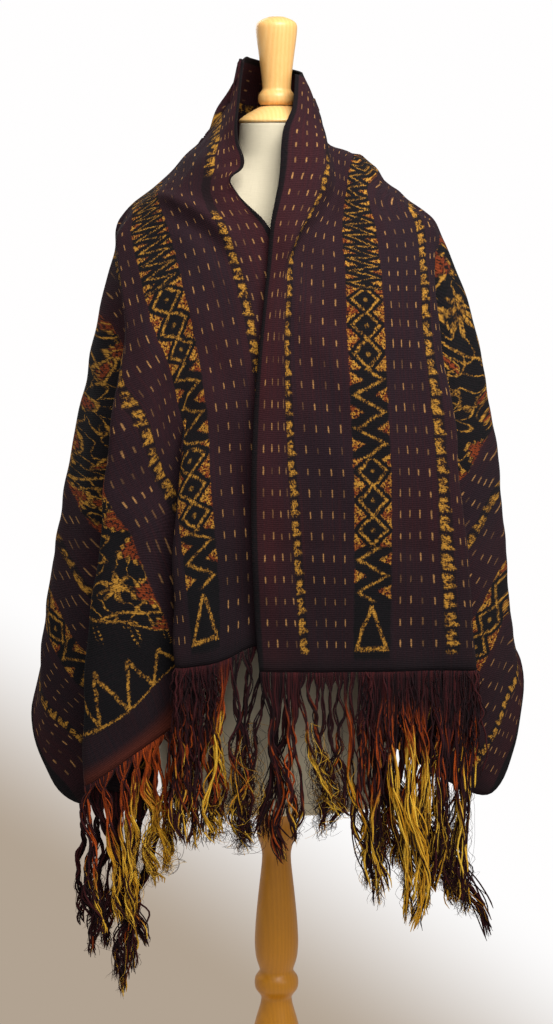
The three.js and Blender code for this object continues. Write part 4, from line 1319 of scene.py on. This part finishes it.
def yarn_mesh(name, paths, dye, radius, luck, material):
    """Tubes along the paths. UV layers carry how far past each dye's turning point a place is."""
    number, points = paths.shape[:2]
    tangent = np.gradient(paths, axis=1)
    tangent /= np.linalg.norm(tangent, axis=2, keepdims=True)
    side = np.cross(tangent, np.array([0.0, 1.0, 0.02]))
    side /= np.linalg.norm(side, axis=2, keepdims=True)
    other = np.cross(tangent, side)
    taper = np.ones(points)
    taper[-1] = 0.35
    thick = (radius * (0.55 + 0.75 * luck))[:, None] * taper[None]
    rings = []
    for k in range(YARN_SIDES):
        angle = 2 * math.pi * k / YARN_SIDES
        rings.append(paths + (side * math.cos(angle) + other * math.sin(angle)) * thick[..., None])
    verts = np.stack(rings, axis=2)
    i, j, k = np.meshgrid(np.arange(number), np.arange(points - 1), np.arange(YARN_SIDES), indexing="ij")
    base_index = (i * points + j) * YARN_SIDES
    following = (k + 1) % YARN_SIDES
    quads = np.stack([
        base_index + k, base_index + following,
        base_index + YARN_SIDES + following, base_index + YARN_SIDES + k,
    ], axis=3).reshape(-1, 4)
    first = np.arange(number)[:, None] * points * YARN_SIDES + np.arange(YARN_SIDES)[None, ::-1]
    last = (np.arange(number)[:, None] * points + points - 1) * YARN_SIDES + np.arange(YARN_SIDES)[None]
    quads = np.vstack([quads, first, last])
    dye_layer = np.repeat(dye[:, :, None, :], YARN_SIDES, axis=2).reshape(-1, 2)
    down = np.broadcast_to((paths[:, :1, 2] - paths[..., 2])[..., None], (number, points, YARN_SIDES))
    luck_layer = np.stack([np.repeat(luck, points * YARN_SIDES), down.ravel() * MM], axis=1)
    layers = {"dye": dye_layer * MM, "luck": luck_layer}
    return build_mesh(name, verts.reshape(-1, 3) * MM, quads, layers, material)


def fringe_material():
    material, tree, shader = new_material("fringe_yarn", 0.92, 0.02)
    shader.inputs["Specular IOR Level"].default_value = 0.1
    orange_past, gold_past = coordinates(tree, "dye")
    luck, down = coordinates(tree, "luck")
    orange_past = orange_past * 1000
    gold_past = gold_past * 1000
    mottle = noise((luck * 400, down * 110, 0.0), 2.0)
    dark = blend(luck * luck, rgb(24, 15, 19), rgb(66, 26, 28))
    orange = blend((luck * 7.3).fract(), rgb(92, 34, 16), rgb(178, 76, 22))
    yellow = blend((luck * 3.7).fract(), rgb(200, 140, 26), rgb(246, 200, 72))
    colour = blend((orange_past + mottle * 34).ramp(-18, 26), dark, orange)
    colour = blend((gold_past + mottle * 44).ramp(-26, 26), colour, yellow)
    patch = noise((luck * 900, down * 60, 5.0), 2.0)
    colour = blend(patch.ramp(0.0, 0.5) * 0.55, colour, rgb(58, 28, 18))
    twist = ((down * 450 + luck * 9) * 2 * math.pi).math("SINE") + mottle
    set_finish(shader, colour, twist, 0.0003, 0.5)
    return material


FRINGE_SPLITS = [
    {"name": "fringe_right_front", "side": 1, "from": 0, "to": 275, "gathered": 0.4},
    {"name": "fringe_right_side", "side": 1, "from": 275, "to": 701, "gathered": 0.25},
    {"name": "fringe_left_front", "side": -1, "from": 0, "to": 228, "gathered": 0.36},
    {"name": "fringe_left_flap", "side": -1, "from": 228, "to": 432, "gathered": 0.17},
    {"name": "fringe_left_side", "side": -1, "from": 432, "to": 701, "gathered": 0.2},
]


def make_fringes():
    material = fringe_material()
    draw = np.random.RandomState(11)
    hems = {1: hem_line(1), -1: hem_line(-1)}
    tassels = {1: RIGHT_TASSELS, -1: LEFT_TASSELS}
    pieces = []
    for part in FRINGE_SPLITS:
        rows = [row for row in tassels[part["side"]] if part["from"] <= row[0] < part["to"]]
        made = [tassel_yarns(row, hems[part["side"]], draw, part["gathered"]) for row in rows]
        for row in LOOSE_YARNS:
            if row[0] == part["side"] and part["from"] <= row[1] < part["to"]:
                made.append(loose_yarns(row, hems[part["side"]], draw))
        paths, dye, radius = (np.concatenate(group) for group in zip(*made))
        name = part["name"].replace("fringe", "yarns")
        piece = yarn_mesh(name, paths, dye, radius, draw.rand(len(paths)), material)
        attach(piece, "root")
        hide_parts(part["name"])
        pieces.append(piece)
    return pieces


fringes = make_fringes()

# ------------------------------------------------------------------ what stands for what

CLOTH_NODES = [
    "shawl_collar", "shawl_right_front", "shawl_right_side", "shawl_back",
    "shawl_left_side", "shawl_left_flap", "shawl_left_front",
]
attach(shawl, "root")
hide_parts(*CLOTH_NODES)
for piece, slot, node in (
    (torso, "linen", "form_torso"), (cap, "wood", "form_neck_cap"), (finial, "wood", "form_finial"),
    (column, "wood", "form_column"), (base, "wood", "form_base"),
):
    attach(piece, "root")
    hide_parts(node)
